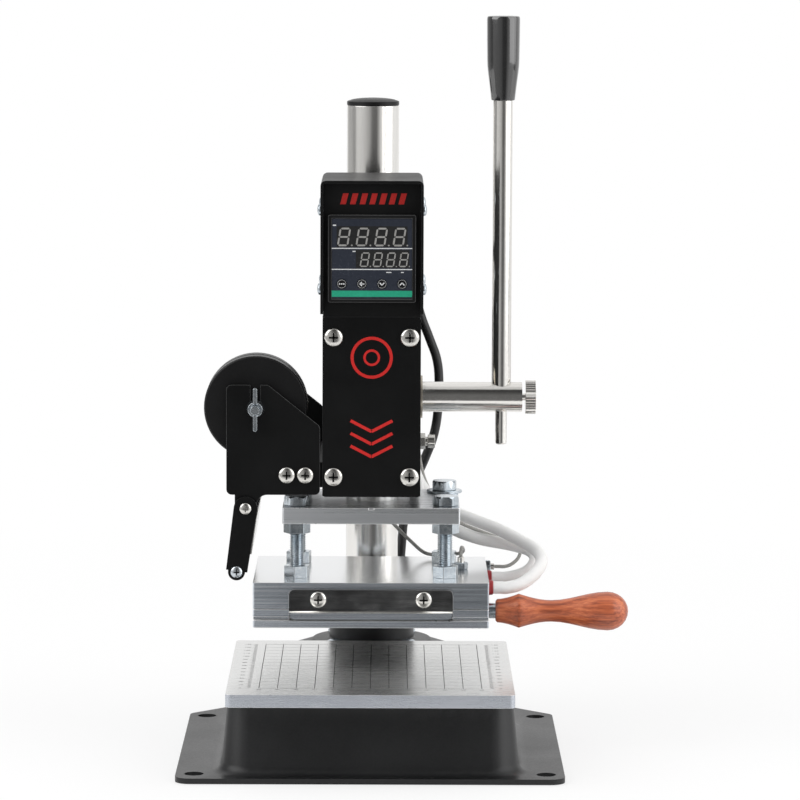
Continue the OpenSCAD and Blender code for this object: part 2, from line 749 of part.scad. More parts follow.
// Hole for a screw: blind, going in along +Z from z = 0, or right through a thickness
module screw_hole(d, deep) translate([0, 0, -1]) cylinder(d = d + 2 * screw_gap, h = deep + 1);
module screw_through(d, t) hole(d + 2 * screw_gap, t);

// Places of the screws in the base
hub_screw_r = (hub_d + hub_flange_d) / 4;
hub_screw_spots = [for (a = [45:90:315]) [hub_screw_r * cos(a), column_y + hub_screw_r * sin(a)]];
table_screw_spots = [for (i = [-1, 1], j = [-1, 1])
  [i * table_screw_x / 2, table_y + j * table_screw_y / 2]];
table_screw_deep = table_t - 2;
cover_spots = [for (i = [-1, 1], z = [head_z + cover_in_z, head_top - cover_in_z])
  [i * (head_x - cover_in_x), z]];

module base_plate() {
  color(black_paint) difference() {
    union() {
      linear_extrude(base_t) polygon(ring(flange_pts, 0, flange_r));
      skin([for (q = base_profile(0)) lift(ring(foot_pts, q[0], foot_r - q[0]), q[1])]);
    }
    skin([for (q = base_profile(base_t)) lift(ring(foot_pts, q[0], foot_r - q[0]), q[1])]);
    for (i = [-1, 1], j = [-1, 1])
      translate([i * hole_pitch_x / 2, j * hole_pitch_y / 2, 0]) hole(hole_d, base_t);
    for (p = concat(hub_screw_spots, table_screw_spots))
      translate([p.x, p.y, base_h - base_t]) screw_through(mid_d, base_t);
  }
}

module column_flange() {
  color(black_paint) difference() {
    translate([0, column_y, base_h]) rotate_extrude() polygon([
      [column_d / 2 + run_gap, 0], [hub_flange_d / 2, 0], [hub_flange_d / 2, hub_flange_t - 1],
      [hub_flange_d / 2 - 1, hub_flange_t], [hub_d / 2 + 1, hub_flange_t], [hub_d / 2, hub_flange_t + 1],
      [hub_d / 2, hub_h - 1], [hub_d / 2 - 1, hub_h], [column_d / 2 + run_gap, hub_h]]);
    for (p = hub_screw_spots) translate([p.x, p.y, base_h]) screw_through(mid_d, hub_flange_t);
  }
}

module base_screws() {
  color(zinc_steel) {
    for (p = hub_screw_spots) translate([p.x, p.y, base_h + hub_flange_t])
      mid_screw(hub_flange_t + base_t + 4);
    for (p = table_screw_spots) translate([p.x, p.y, base_h - base_t]) mirror([0, 0, 1])
      mid_screw(base_t + table_screw_deep - screw_gap);
  }
}

module column() {
  color(bright_steel) translate([0, column_y, base_h]) difference() {
    cylinder(d = column_d, h = column_h);
    hole(column_d - 2 * column_wall, column_h);
  }
}

module column_cap() {
  stem_r = column_d / 2 - column_wall - screw_gap;
  stem_len = 8;
  color(black_plastic) translate([0, column_y, column_top]) rotate_extrude() polygon(concat(
    [[0, -stem_len], [stem_r, -stem_len], [stem_r, 0], [column_d / 2, 0], [column_d / 2, cap_rim]],
    [for (k = [1:arc_n]) let (a = 90 * k / arc_n)
      [(column_d / 2 - 1) * cos(a), cap_rim + cap_dome * sin(a)]]));
}

module work_table() {
  color(bare_aluminium) difference() {
    translate([0, table_y, base_h]) slab(table_w, table_d, table_t, table_r);
    for (p = table_screw_spots) translate([p.x, p.y, base_h]) screw_hole(mid_d, table_screw_deep);
  }
}

module head_housing() {
  depth = head_back - head_front;
  color(black_paint) difference() {
    union() {
      translate([-head_x, head_front, head_z]) cube([head_w, depth, head_h]);
      translate([-neck_half, head_back - 1, clamp_z]) cube([2 * neck_half, column_y - head_back, clamp_h]);
      translate([0, column_y, clamp_z]) cylinder(d = clamp_d, h = clamp_h);
      translate([-ear_half, column_y, clamp_z]) cube([2 * ear_half, clamp_ear, clamp_h]);
    }
    translate([0, column_y, clamp_z]) hole(column_d + 2 * run_gap, clamp_h);
    translate([-clamp_slit / 2, column_y, clamp_z - 1]) cube([clamp_slit, clamp_ear + 1, clamp_h + 2]);
    for (z = clamp_screw_z) to_right([-neck_half, clamp_screw_y, z]) screw_through(screw_d, 2 * neck_half);
    translate([0, ram_y, head_z]) hole(ram_d + 2 * move_gap, head_h);
    translate([0, ram_y, head_z - 1]) cylinder(r = ram_bush_r + screw_gap, h = ram_bush_low + 1);
    translate([0, ram_y, head_z + ram_bush_up]) cylinder(r = ram_bush_r + screw_gap, h = head_h);
    to_right([-pinion_w / 2 - move_gap, pinion_y, shaft_z])
      cylinder(r = tip_r + move_gap, h = pinion_w + 2 * move_gap);
    to_right([-head_x, pinion_y, shaft_z]) screw_through(2 * bush_r, head_w);
    to_left([head_x, ram_y, lock_z]) screw_hole(screw_d, head_x);
    to_right([-head_x, ram_y, spring_pin_z]) screw_through(spring_pin_d, head_w);
    for (p = cover_spots) to_back([p.x, head_front, p.y]) screw_hole(screw_d, cover_screw_deep);
    for (y = bar_bolt_y) to_right([-head_x, y, pair_z]) screw_hole(screw_d, bar_bolt_deep);
  }
}
ear_half = neck_half - 1;
clamp_head_d = 1.7 * screw_d;
clamp_screw_y = column_y + sqrt((clamp_d / 2) ^ 2 - ear_half ^ 2) + clamp_head_d / 2 + move_gap;
clamp_screw_z = [clamp_z + clamp_h / 4, clamp_z + 3 * clamp_h / 4];
lock_z = head_z + lock_up;
cover_screw_deep = 9;
bar_bolt_deep = 8;

module clamp_screws() {
  color(zinc_steel) for (z = clamp_screw_z) to_right([ear_half, clamp_screw_y, z]) {
    translate([0, 0, 2 - 2 * ear_half]) cylinder(d = screw_d, h = 2 * ear_half - 2);
    difference() {
      cylinder(d = clamp_head_d, h = screw_d);
      translate([0, 0, screw_d / 2]) hexagon(0.8 * screw_d, screw_d);
    }
  }
}

module front_cover() {
  color(black_paint) difference() {
    upright(head_front - cover_t, cover_t) translate([0, head_z + head_h / 2])
      polygon(ring(box_pts(head_w, head_h), 0, cover_r));
    for (p = cover_spots) to_front([p.x, head_front, p.y]) screw_through(screw_d, cover_t);
  }
}

module cover_screws() {
  color(bright_steel) for (p = cover_spots) to_front([p.x, head_front - cover_t, p.y])
    screw(screw_d, cover_t + cover_screw_deep - 1, screw_head_d, screw_head_h);
}

module bush(r_out, r_in, len) difference() {
  cylinder(r = r_out, h = len);
  hole(2 * r_in, len);
}

module bronze_bushes() {
  color(bronze) {
    translate([0, ram_y, head_z]) bush(ram_bush_r, ram_run_r, ram_bush_low);
    translate([0, ram_y, head_z + ram_bush_up]) bush(ram_bush_r, ram_run_r, ram_bush_high);
    to_right([-head_x, pinion_y, shaft_z]) bush(bush_r, shaft_run_r, shaft_bush_len);
    to_right([head_x - shaft_bush_len, pinion_y, shaft_z]) bush(bush_r, shaft_run_r, shaft_bush_len);
    to_right([head_x, pinion_y, shaft_z]) bush(bush_flange_d / 2, shaft_run_r, bush_flange_t);
  }
}

module ram_lock_screw() {
  nut_t = 3;
  head_len = 4;
  start = ram_d / 2 + 0.8;
  color(bright_steel) {
    to_right([head_x, ram_y, lock_z]) nut(screw_d, 1.6 * screw_d, nut_t);
    to_right([start, ram_y, lock_z]) cylinder(d = screw_d, h = head_x + nut_t + 1.4 - start);
    to_right([head_x + nut_t + 1.4, ram_y, lock_z]) difference() {
      cylinder(d = 1.5 * screw_d, h = head_len);
      translate([0, 0, head_len / 2]) hexagon(0.6 * screw_d, head_len);
    }
  }
}

module spring_pin() {
  color(bright_steel) to_right([-head_x + 1, ram_y, spring_pin_z])
    cylinder(d = spring_pin_d, h = head_w - 2);
}

module return_spring() {
  color(bright_steel) tube(spring_path, spring_wire, 6);
}

module control_chassis() {
  panel_h = tray_top - head_top;
  color(black_paint) difference() {
    union() {
      translate([-tray_x, panel_y, head_top]) cube([2 * tray_x, box_back - panel_y, sheet_t]);
      for (y = [panel_y, box_back - sheet_t]) translate([-tray_x, y, head_top])
        cube([2 * tray_x, sheet_t, panel_h]);
      for (i = [0, 1], y = [panel_y, box_back - tab_len]) mirror([i, 0, 0])
        translate([tray_x - sheet_t, y, box_z + 1]) cube([sheet_t, tab_len, tray_top - box_z - 1]);
    }
    upright(panel_y - 1, sheet_t + 2) translate([0, ctl_z]) square(ctl_body_w + 2 * panel_fit, center = true);
    upright(box_back - sheet_t - 1, sheet_t + 2) translate([-switch_x, switch_z])
      square([rocker_w, rocker_h + 2 * rocker_room] + 2 * (switch_wall + panel_fit) * [1, 1], center = true);
    to_back([gland_x, box_back - sheet_t, gland_z]) screw_through(gland_neck_d, sheet_t);
    for (p = [lead_front, lead_rear, probe_lead, side_lead])
      let (q = p[len(p) - 1], d = p == probe_lead || p == side_lead ? probe_lead_d : lead_d)
        to_back([q.x, box_back - sheet_t, q.z]) hole(d + lead_room, sheet_t);
    for (i = [0, 1], y = box_screw_y, z = box_screw_z) mirror([i, 0, 0])
      to_right([tray_x - sheet_t, y, z]) screw_through(small_d, sheet_t);
  }
}
gland_neck_d = 10;

module control_cover() {
  color(black_paint) difference() {
    union() {
      translate([-box_w / 2, box_front, box_z]) cube([box_w, box_d, box_h - bend_r]);
      translate([bend_r - box_w / 2, box_front, box_z]) cube([box_w - 2 * bend_r, box_d, box_h]);
      for (i = [-1, 1]) to_back([i * (box_w / 2 - bend_r), box_front, box_top - bend_r])
        cylinder(r = bend_r, h = box_d);
    }
    translate([-box_in, box_front - 1, box_z - 1]) cube([2 * box_in, box_d + 2, box_h + 1 - sheet_t]);
    for (i = [0, 1], y = box_screw_y, z = box_screw_z) mirror([i, 0, 0])
      to_right([box_in, y, z]) screw_through(small_d, sheet_t);
  }
}

module control_cover_screws() {
  color(bright_steel) for (i = [0, 1], y = box_screw_y, z = box_screw_z) mirror([i, 0, 0])
    to_right([box_w / 2, y, z]) small_screw(small_d, 2 * sheet_t + 1.5);
}

key_spots = [for (i = [-1.5:1:1.5]) [i * key_pitch, ctl_z - key_down_z]];
recess_y = face_y + face_t;

module controller_case() {
  face_w = ctl_w - 2 * bezel_rim;
  color(black_plastic) difference() {
    union() {
      upright(ctl_y, bezel_t) translate([0, ctl_z]) polygon(ring(box_pts(ctl_w, ctl_w), 0, bezel_r));
      upright(panel_y, ctl_body_d) translate([0, ctl_z]) square(ctl_body_w, center = true);
    }
    upright(ctl_y - 1, recess_y - ctl_y + 1) translate([0, ctl_z]) square(face_w, center = true);
    for (p = key_spots) to_back([p.x, recess_y - 1, p.y])
      cylinder(d = key_d + 2 * move_gap, h = key_well + 1);
  }
}

module controller_face() {
  face_w = ctl_w - 2 * bezel_rim - 2 * panel_fit;
  color("#23272e") difference() {
    upright(face_y, face_t) translate([0, ctl_z]) square(face_w, center = true);
    for (p = key_spots) to_back([p.x, face_y, p.y]) hole(key_d + 2 * move_gap, face_t);
  }
}

module key_cap(i) {
  color("#2b2e33") to_back([key_spots[i].x, face_y - key_proud, key_spots[i].y])
    cylinder(d = key_d, h = key_long);
}
module key_set() key_cap(0);
module key_shift() key_cap(1);
module key_down() key_cap(2);
module key_up() key_cap(3);

module switch_frame() {
  win = [rocker_w + 2 * move_gap, rocker_h + 2 * rocker_room];
  switch_deep = 13;
  color(black_plastic) difference() {
    union() {
      upright(box_back, 1.6) translate([-switch_x, switch_z])
        polygon(ring(box_pts(win.x + 2 * switch_rim, win.y + 2 * switch_rim), 0, 1));
      upright(box_back - switch_deep, switch_deep) translate([-switch_x, switch_z])
        square([rocker_w, win.y] + 2 * switch_wall * [1, 1], center = true);
    }
    upright(box_back - switch_deep + 3, switch_deep) translate([-switch_x, switch_z])
      square(win, center = true);
    to_right([-switch_x - win.x / 2 - pin_deep, rocker_pivot_y, switch_z])
      cylinder(d = rocker_pin_d + 2 * run_gap, h = win.x + 2 * pin_deep);
  }
}

module switch_rocker() {
  h = rocker_h / 2;
  pin_len = rocker_w + 2 * pin_deep;
  color(black_plastic) translate([-switch_x, rocker_pivot_y, switch_z]) rotate([rocker_tilt, 0, 0]) {
    sideways(-rocker_w / 2, rocker_w)
      polygon([[-5, -h / 2], [3.6, -h], [4.4, 0.8 - h], [3, 0], [4.4, h - 0.8], [3.6, h], [-5, h / 2]]);
    to_right([-pin_len / 2, 0, 0]) cylinder(d = rocker_pin_d, h = pin_len);
  }
}
pin_deep = 1.2;

module cord_gland() {
  nut_t = 5;
  color(black_plastic) {
    to_back([gland_x, box_back, gland_z]) hexagon(14, nut_t);
    to_back([gland_x, box_back - sheet_t - 6, gland_z]) cylinder(d = gland_neck_d, h = sheet_t + 6);
    to_back([gland_x, box_back + nut_t, gland_z]) rotate_extrude() polygon([
      [0, 0], [6, 0], [6, 2], [5, 4], [cord_d / 2 + 1.2, gland_len - nut_t - 1],
      [cord_d / 2 + 0.8, gland_len - nut_t], [0, gland_len - nut_t]]);
  }
}

module foil_bracket() {
  color(black_paint) difference() {
    translate([-head_x - bar_w, foil_front + foil_t, bar_z]) cube([bar_w, foil_span - 2 * foil_t, bar_h]);
    for (i = [-1, 1]) {
      to_back([bar_mid_x + i * pair_pitch / 2, foil_front + foil_t, pair_z]) screw_hole(mid_d, pair_deep);
      to_front([bar_mid_x + i * pair_pitch / 2, foil_back - foil_t, pair_z]) screw_hole(mid_d, pair_deep);
    }
    for (y = bar_bolt_y) to_right([-head_x - bar_w, y, pair_z]) {
      screw_through(screw_d, bar_w);
      screw_hole(bar_bolt_head_d, bar_bolt_sink);
    }
  }
}
pair_deep = 10;
bar_bolt_sink = 6;
bar_bolt_head_d = 8.5;

// Outline of a feeder plate: sloped top, open slot for the spindle, neck down to the arm's pivot
module foil_outline() {
  neck_w = arm_w - 1;
  slot_w = spindle_d + 2 * move_gap;
  shoulder_r = 6;
  difference() {
    union() {
      polygon(ring([[foil_left, foil_low], [foil_right, foil_low], [foil_right, head_z + foil_side],
                    [foil_left + foil_top_w, head_z + foil_top], [foil_left, head_z + foil_top]], 0, 3));
      translate([pivot_x, pivot_z]) circle(d = neck_w);
      translate([pivot_x - neck_w / 2, pivot_z]) square([neck_w, foil_low - pivot_z + 4]);
      translate([pivot_x + neck_w / 2, foil_low - shoulder_r]) difference() {
        square(shoulder_r);
        translate([shoulder_r, 0]) circle(shoulder_r);
      }
    }
    translate([spindle_x - slot_w / 2, spindle_z]) square([slot_w, foil_top]);
    translate([spindle_x, spindle_z]) circle(d = slot_w);
    translate([pivot_x, pivot_z]) circle(d = small_d + 2 * screw_gap);
    for (i = [-1, 1]) translate([bar_mid_x + i * pair_pitch / 2, pair_z]) circle(d = mid_d + 2 * screw_gap);
  }
}

module foil_plate_front() {
  color(black_paint) upright(foil_front, foil_t) foil_outline();
}

module foil_plate_rear() {
  color(black_paint) upright(foil_back - foil_t, foil_t) foil_outline();
}

module foil_screws() {
  pivot_len = foil_t + move_gap + arm_t + 2 * move_gap;
  pair_len = foil_t + pair_deep - 1;
  bolt_len = bar_w - bar_bolt_sink + bar_bolt_deep - 1;
  color(bright_steel) {
    for (i = [-1, 1]) {
      to_front([bar_mid_x + i * pair_pitch / 2, foil_front, pair_z]) mid_screw(pair_len);
      to_back([bar_mid_x + i * pair_pitch / 2, foil_back, pair_z]) mid_screw(pair_len);
    }
    to_front([pivot_x, arm_front - move_gap, pivot_z]) small_screw(small_d, pivot_len);
    to_back([pivot_x, arm_back + move_gap, pivot_z]) small_screw(small_d, pivot_len);
    for (y = bar_bolt_y) to_left([-head_x - bar_w + bar_bolt_sink, y, pair_z]) {
      translate([0, 0, -bolt_len]) cylinder(d = screw_d, h = bolt_len);
      difference() {
        cylinder(d = bar_bolt_head_d, h = screw_d);
        translate([0, 0, screw_d / 2]) hexagon(0.8 * screw_d, screw_d);
      }
    }
  }
}

disc_front_y = foil_front + foil_t + 3;
disc_rear_y = disc_front_y + disc_w + disc_apart;
wing_y = foil_front - move_gap;

module foil_spindle() {
  reach = 9;
  color(bright_steel) to_back([spindle_x, foil_front - reach, spindle_z])
    cylinder(d = spindle_d, h = foil_span + 2 * reach);
}

// Disc with a deep rim on one side and a given bore
module foil_disc(bore) {
  r = disc_d / 2;
  rim = 2.5;
  hub_r = spindle_d / 2 + 5;
  rotate_extrude() polygon([
    [bore / 2, 0], [r - 0.8, 0], [r, 0.8], [r, disc_w], [r - rim, disc_w], [r - rim, disc_web],
    [hub_r, disc_web], [hub_r, disc_w], [bore / 2, disc_w]]);
}

module foil_disc_front() {
  color(black_plastic) to_back([spindle_x, disc_front_y, spindle_z]) foil_disc(spindle_d + 2 * screw_gap);
}

// The rear disc slides along the spindle, to suit the width of the roll
module foil_disc_rear() {
  color(black_plastic) to_front([spindle_x, disc_rear_y + disc_w, spindle_z])
    foil_disc(spindle_d + 2 * run_gap);
}

module spindle_wing_nut() {
  hub_d0 = 9;
  hub_t = 5;
  wing_h = 12;
  wing_t = 2.2;
  wing_from = 3;
  color(bright_steel) difference() {
    union() {
      to_front([spindle_x, wing_y, spindle_z]) cylinder(d1 = hub_d0 + 1, d2 = hub_d0 - 1, h = hub_t);
      upright(wing_y - hub_t - 1, hub_t - 1) translate([spindle_x, spindle_z]) for (i = [-1, 1]) {
        translate([-wing_t / 2, i > 0 ? wing_from : wing_t / 2 - wing_h])
          square([wing_t, wing_h - wing_t / 2 - wing_from]);
        translate([0, i * (wing_h - wing_t / 2)]) circle(d = wing_t);
      }
    }
    to_front([spindle_x, wing_y + 1, spindle_z])
      cylinder(d = spindle_d + 2 * screw_gap, h = hub_t + 4);
  }
}

// Arm outline, its pivot at the origin, hanging with the rest lean
module arm_outline() {
  rotate(-arm_lean) difference() {
    union() {
      circle(d = arm_w);
      polygon([[-arm_w / 2, 0], [-arm_foot, arm_cut - arm_len],
               [arm_foot, arm_cut - arm_len], [arm_w / 2, 0]]);
      translate([0, -arm_len]) circle(lug_r);
      translate([-lug_r, -arm_len]) square([2 * lug_r, lug_r]);
    }
    circle(d = small_d + 2 * run_gap);
    translate([0, -arm_len]) circle(d = roller_axle_d + 2 * screw_gap);
  }
}
arm_foot = arm_w / 2 - 0.6;
flange_d = 4;
flange_t = 1.2;
roller_spot = [pivot_x, pivot_z] + turned([0, -arm_len], -arm_lean);
function turned(p, a) = [p.x * cos(a) - p.y * sin(a), p.x * sin(a) + p.y * cos(a)];

// Side flanges that stiffen an arm, below the plate's neck
module arm_flanges() rotate(-arm_lean) for (i = [-1, 1])
  translate([i * (arm_foot - flange_t / 2) - flange_t / 2, arm_cut - arm_len])
    square([flange_t, arm_len - arm_cut - flange_down]);
flange_down = 9;

module foil_arms() {
  color(black_paint) {
    translate([pivot_x, 0, pivot_z]) {
      upright(arm_front, arm_t) arm_outline();
      upright(arm_front, arm_t + flange_d) arm_flanges();
      upright(arm_back - arm_t, arm_t) arm_outline();
      upright(arm_back - arm_t - flange_d, arm_t + flange_d) arm_flanges();
    }
  }
}

// Flat strip along the arms' inner flanges, which leads the foil
module guide_strip() {
  color(bright_steel) translate([pivot_x, 0, pivot_z])
    upright(arm_front + arm_t, arm_back - arm_front - 2 * arm_t) rotate(-arm_lean)
      translate([arm_foot, -guide_down - guide_len]) square([guide_t, guide_len]);
}

module guide_roller() {
  side_gap = 0.5;
  len = arm_back - arm_front - 2 * arm_t - 2 * side_gap;
  color(bright_steel) to_back([roller_spot.x, arm_front + arm_t + side_gap, roller_spot.y]) difference() {
    cylinder(d = roller_d, h = len);
    hole(roller_axle_d + 2 * run_gap, len);
  }
}

module roller_axle() {
  color(bright_steel) {
    to_front([roller_spot.x, arm_front, roller_spot.y]) small_screw(roller_axle_d, arm_back - arm_front);
    to_back([roller_spot.x, arm_back, roller_spot.y]) small_screw(roller_axle_d, arm_t);
  }
}

seat_up = 4;
spigot_r = rod_d / 2 - 1.5;
spigot_len = 12;
stud_tip = lever_x + tail_d / 2 + move_gap;

module pinion_shaft() {
  color(bright_steel) difference() {
    to_right([-head_x + 2, pinion_y, shaft_z]) cylinder(d = shaft_d, h = shaft_end + head_x - 2);
    translate([lever_x, pinion_y, shaft_z - shaft_d]) cylinder(d = tail_d + 2 * screw_gap, h = 2 * shaft_d);
    translate([lever_x, pinion_y, shaft_z + seat_up]) cylinder(d = rod_d + 2 * screw_gap, h = shaft_d);
    to_right([lever_x, pinion_y, shaft_z]) cylinder(d = thumb_stud_d + 2 * run_gap, h = shaft_out);
  }
}

module pinion_gear() {
  color(zinc_steel) difference() {
    sideways(-pinion_w / 2, pinion_w) translate([pinion_y, shaft_z]) polygon(pinion_pts);
    to_right([-pinion_w / 2, pinion_y, shaft_z]) hole(shaft_d + 2 * run_gap, pinion_w);
  }
}

module lever_rod() {
  color(bright_steel) translate([lever_x, pinion_y, shaft_z]) rotate_extrude() polygon([
    [0, -tail_len], [tail_d / 2 - 0.6, -tail_len], [tail_d / 2, 0.6 - tail_len], [tail_d / 2, seat_up],
    [rod_d / 2, seat_up], [rod_d / 2, rod_len], [spigot_r, rod_len], [spigot_r, rod_len + spigot_len],
    [0, rod_len + spigot_len]]);
}

module lever_grip() {
  bore = spigot_len + move_gap;
  bore_r = spigot_r + screw_gap;
  edge = 0.8;
  r0 = grip_low_d / 2;
  r1 = grip_top_d / 2;
  round = 4;
  color(black_plastic) translate([lever_x, pinion_y, shaft_z + rod_len]) rotate_extrude() polygon(concat(
    [[bore_r, 0], [r0 - edge, 0], [r0, edge]],
    [for (k = [1:arc_n]) let (t = k / arc_n)
      [r0 + (r1 - r0) * sin(90 * t), edge + (grip_len - round - edge) * t]],
    [for (k = [1:arc_n]) let (a = 90 * k / arc_n)
      [r1 - round + round * cos(a), grip_len - round + round * sin(a)]],
    [[0, grip_len], [0, bore], [bore_r, bore]]));
}

module lever_thumbscrew() {
  notches = 36;
  head_x0 = shaft_end + thumb_gap;
  color(bright_steel) {
    to_right([stud_tip, pinion_y, shaft_z]) cylinder(d = thumb_stud_d, h = head_x0 - stud_tip + 1);
    to_right([head_x0, pinion_y, shaft_z]) linear_extrude(thumb_t) polygon([for (k = [0:2 * notches - 1])
      polar(thumb_d / 2 - (k % 2) * 0.5, 180 * k / notches)]);
  }
}

module ram() {
  color(bright_steel) difference() {
    translate([0, ram_y, upper_top]) cylinder(d = ram_d, h = ram_top - upper_top);
    translate([0, ram_y, upper_top + ram_floor]) cylinder(d = spring_bore_d, h = ram_top);
    translate([0, ram_y, upper_top - 1]) cylinder(d = ram_screw_d + 2 * screw_gap, h = ram_floor - 1);
    translate([-ram_d, ram_y + rack_off + rack_tip, shaft_z + (rack_first - 0.5) * tooth_pitch])
      cube([2 * ram_d, ram_d, (rack_last - rack_first + 1) * tooth_pitch]);
    sideways(-ram_d, 2 * ram_d) for (k = [rack_first:rack_last])
      translate([ram_y + rack_off, shaft_z + k * tooth_pitch]) rack_space();
  }
}

// Space between two rack teeth
module rack_space() {
  half = tooth_pitch / 4 + tooth_play / 4;
  low = half - rack_root * tan(pressure_angle);
  high = half + (rack_tip + 0.5) * tan(pressure_angle);
  polygon([[-rack_root, -low], [rack_tip + 0.5, -high], [rack_tip + 0.5, high], [-rack_root, low]]);
}

module upper_plate() {
  color(bare_aluminium) difference() {
    translate([0, ram_y, upper_z]) slab(upper_w, upper_d, upper_t, 1);
    for (p = bolt_spots) translate([p.x, p.y, upper_z]) hole(bolt_d + 0.5, upper_t);
    translate([0, ram_y, upper_z]) hole(ram_screw_d + 2 * screw_gap, upper_t);
    translate([0, ram_y, upper_z - 1]) cylinder(d = ram_screw_head_d + 0.6, h = ram_screw_head_h + 1);
    translate([-1.5, ram_y - upper_d / 2 - 1, upper_top - 1]) cube([3, 2, 2]);
  }
}

module press_bolts() {
  color(zinc_steel) {
    for (p = bolt_spots) translate([p.x, p.y, 0]) {
      translate([0, 0, block_top - bolt_deep])
        cylinder(d = bolt_d, h = upper_top + p.z - block_top + bolt_deep);
      translate([0, 0, upper_top + p.z]) rotate(15 * p.z) intersection() {
        hexagon(bolt_af, bolt_head_h);
        cylinder(d1 = 2 * bolt_af, d2 = bolt_af, h = bolt_head_h);
      }
    }
    translate([0, ram_y, upper_z]) difference() {
      union() {
        cylinder(d = ram_screw_head_d, h = ram_screw_head_h);
        cylinder(d = ram_screw_d, h = upper_t + ram_floor - 3);
      }
      translate([0, 0, -1]) hexagon(6, 4);
    }
  }
}

module levelling_nuts() {
  color(zinc_steel) for (p = bolt_spots) {
    translate([p.x, p.y, upper_z - nut_h]) nut(bolt_d, bolt_af, nut_h);
    translate([p.x, p.y, block_top]) rotate(20) nut(bolt_d, bolt_af, nut_h);
    if (p.z > 0) translate([p.x, p.y, upper_top]) difference() {
      cylinder(d = 20, h = washer_t);
      hole(bolt_d + 2 * screw_gap, washer_t);
    }
  }
}

module heat_block() {
  color(bare_aluminium) difference() {
    translate([0, ram_y, block_z]) slab(block_w, block_d, block_t, 1);
    for (p = bolt_spots) translate([p.x, p.y, block_top]) mirror([0, 0, 1])
      screw_hole(bolt_d, bolt_deep + move_gap);
    for (y = heater_y) to_left([block_w / 2, y, heater_z]) screw_hole(heater_d, block_w - heater_wall);
    for (i = [-1, 1]) {
      to_back([i * clip_screw_x / 2, block_front, clip_screw_z]) screw_hole(mid_d, clip_screw_deep);
      to_front([i * clip_screw_x / 2, block_back, clip_screw_z]) screw_hole(mid_d, clip_screw_deep);
    }
    translate([probe_x, probe_y, block_top]) mirror([0, 0, 1]) screw_hole(small_d, probe_deep);
    to_left([block_w / 2, side_probe_y, side_probe_z]) screw_hole(small_d, probe_deep);
  }
}
clip_screw_deep = 8;
clip_screw_len = clip_t + clip_screw_deep - 1;
heater_wall = 4;
heater_len = block_w - heater_wall - 1;
probe_deep = 7;

module cartridge_heaters() {
  color(bright_steel) for (y = heater_y)
    to_left([block_w / 2, y, heater_z]) cylinder(d = heater_d, h = heater_len);
}

module heater_seals() {
  color("#b3262b") for (y = heater_y) to_right([block_w / 2, y, heater_z]) rotate_extrude() polygon([
    [0, 0], [seal_d / 2 + 0.4, 0], [seal_d / 2, seal_len], [0, seal_len]]);
}

// Clip on the block's face with a lip that runs in the die plate's groove
module guide_clip() {
  difference() {
    union() {
      upright(-clip_t, clip_t) translate([0, clip_low + (clip_under + clip_on) / 2])
        polygon(ring(box_pts(clip_w, clip_under + clip_on), 0, clip_r));
      translate([-clip_w / 2, -clip_t, clip_low]) cube([clip_w, clip_t + move_gap + lip_d, clip_t]);
    }
    for (i = [-1, 1]) to_front([i * clip_screw_x / 2, 0, clip_screw_z]) screw_through(mid_d, clip_t);
  }
}

module guide_clips() {
  color(bright_steel) {
    translate([0, block_front, 0]) guide_clip();
    translate([0, block_back, 0]) mirror([0, 1, 0]) guide_clip();
  }
}

module clip_screws() {
  color(bright_steel) for (i = [-1, 1]) {
    to_front([i * clip_screw_x / 2, block_front - clip_t, clip_screw_z]) mid_screw(clip_screw_len);
    to_back([i * clip_screw_x / 2, block_back + clip_t, clip_screw_z]) mid_screw(clip_screw_len);
  }
}

die_d = block_d - 2 * move_gap;

module die_plate() {
  groove_h = clip_t + 2 * move_gap;
  color(bare_aluminium) difference() {
    translate([0, ram_y, die_z]) slab(block_w, die_d, die_t, 1);
    for (i = [0, 1]) translate([0, ram_y, 0]) mirror([0, i, 0])
      translate([-block_w, die_d / 2 - groove_d, clip_low - move_gap])
        cube([2 * block_w, groove_d + 1, groove_h]);
    to_left([block_w / 2, handle_y, handle_z]) screw_hole(stud_d, stud_deep);
  }
}
stud_deep = 12;
stud_out = 22;

module handle_stud() {
  color(bright_steel) {
    to_right([block_w / 2 - stud_deep + 0.5, handle_y, handle_z])
      cylinder(d = stud_d, h = stud_deep + collar_len + stud_out - 1);
    to_right([block_w / 2, handle_y, handle_z]) cylinder(d = collar_d, h = collar_len);
  }
}

// Half profile of the turned handle: end, ridge, waist, bulb and rounded tip
ridge_at = 13;
waist_at = 31;
bulb_at = handle_len - 11.5;
function ease(a, b, t) = a + (b - a) * (1 - cos(180 * t)) / 2;
function mix(a, b, t) = a + (b - a) * t;
handle_pts = concat(
  [[handle_end_d / 2 - 1, 0], [handle_end_d / 2, 1]],
  [for (k = [1:4]) let (t = k / 4)
    [mix(handle_end_d, handle_ridge_d, t ^ 1.6) / 2, mix(1, ridge_at, t)]],
  [for (k = [1:arc_n]) let (t = k / arc_n)
    [mix(handle_ridge_d, handle_waist_d, sin(90 * t)) / 2, mix(ridge_at, waist_at, t)]],
  [for (k = [1:arc_n]) let (t = k / arc_n)
    [ease(handle_waist_d, handle_bulb_d, t) / 2, mix(waist_at, bulb_at, t)]],
  [for (k = [1:arc_n]) let (a = 90 * k / arc_n)
    [handle_bulb_d / 2 * cos(a), mix(bulb_at, handle_len, sin(a))]]);

module wood_handle() {
  bore_r = stud_d / 2 + screw_gap;
  color("#8c3d24") to_right([handle_x, handle_y, handle_z]) rotate_extrude()
    polygon(concat([[0, stud_out], [bore_r, stud_out], [bore_r, 0]], handle_pts));
}

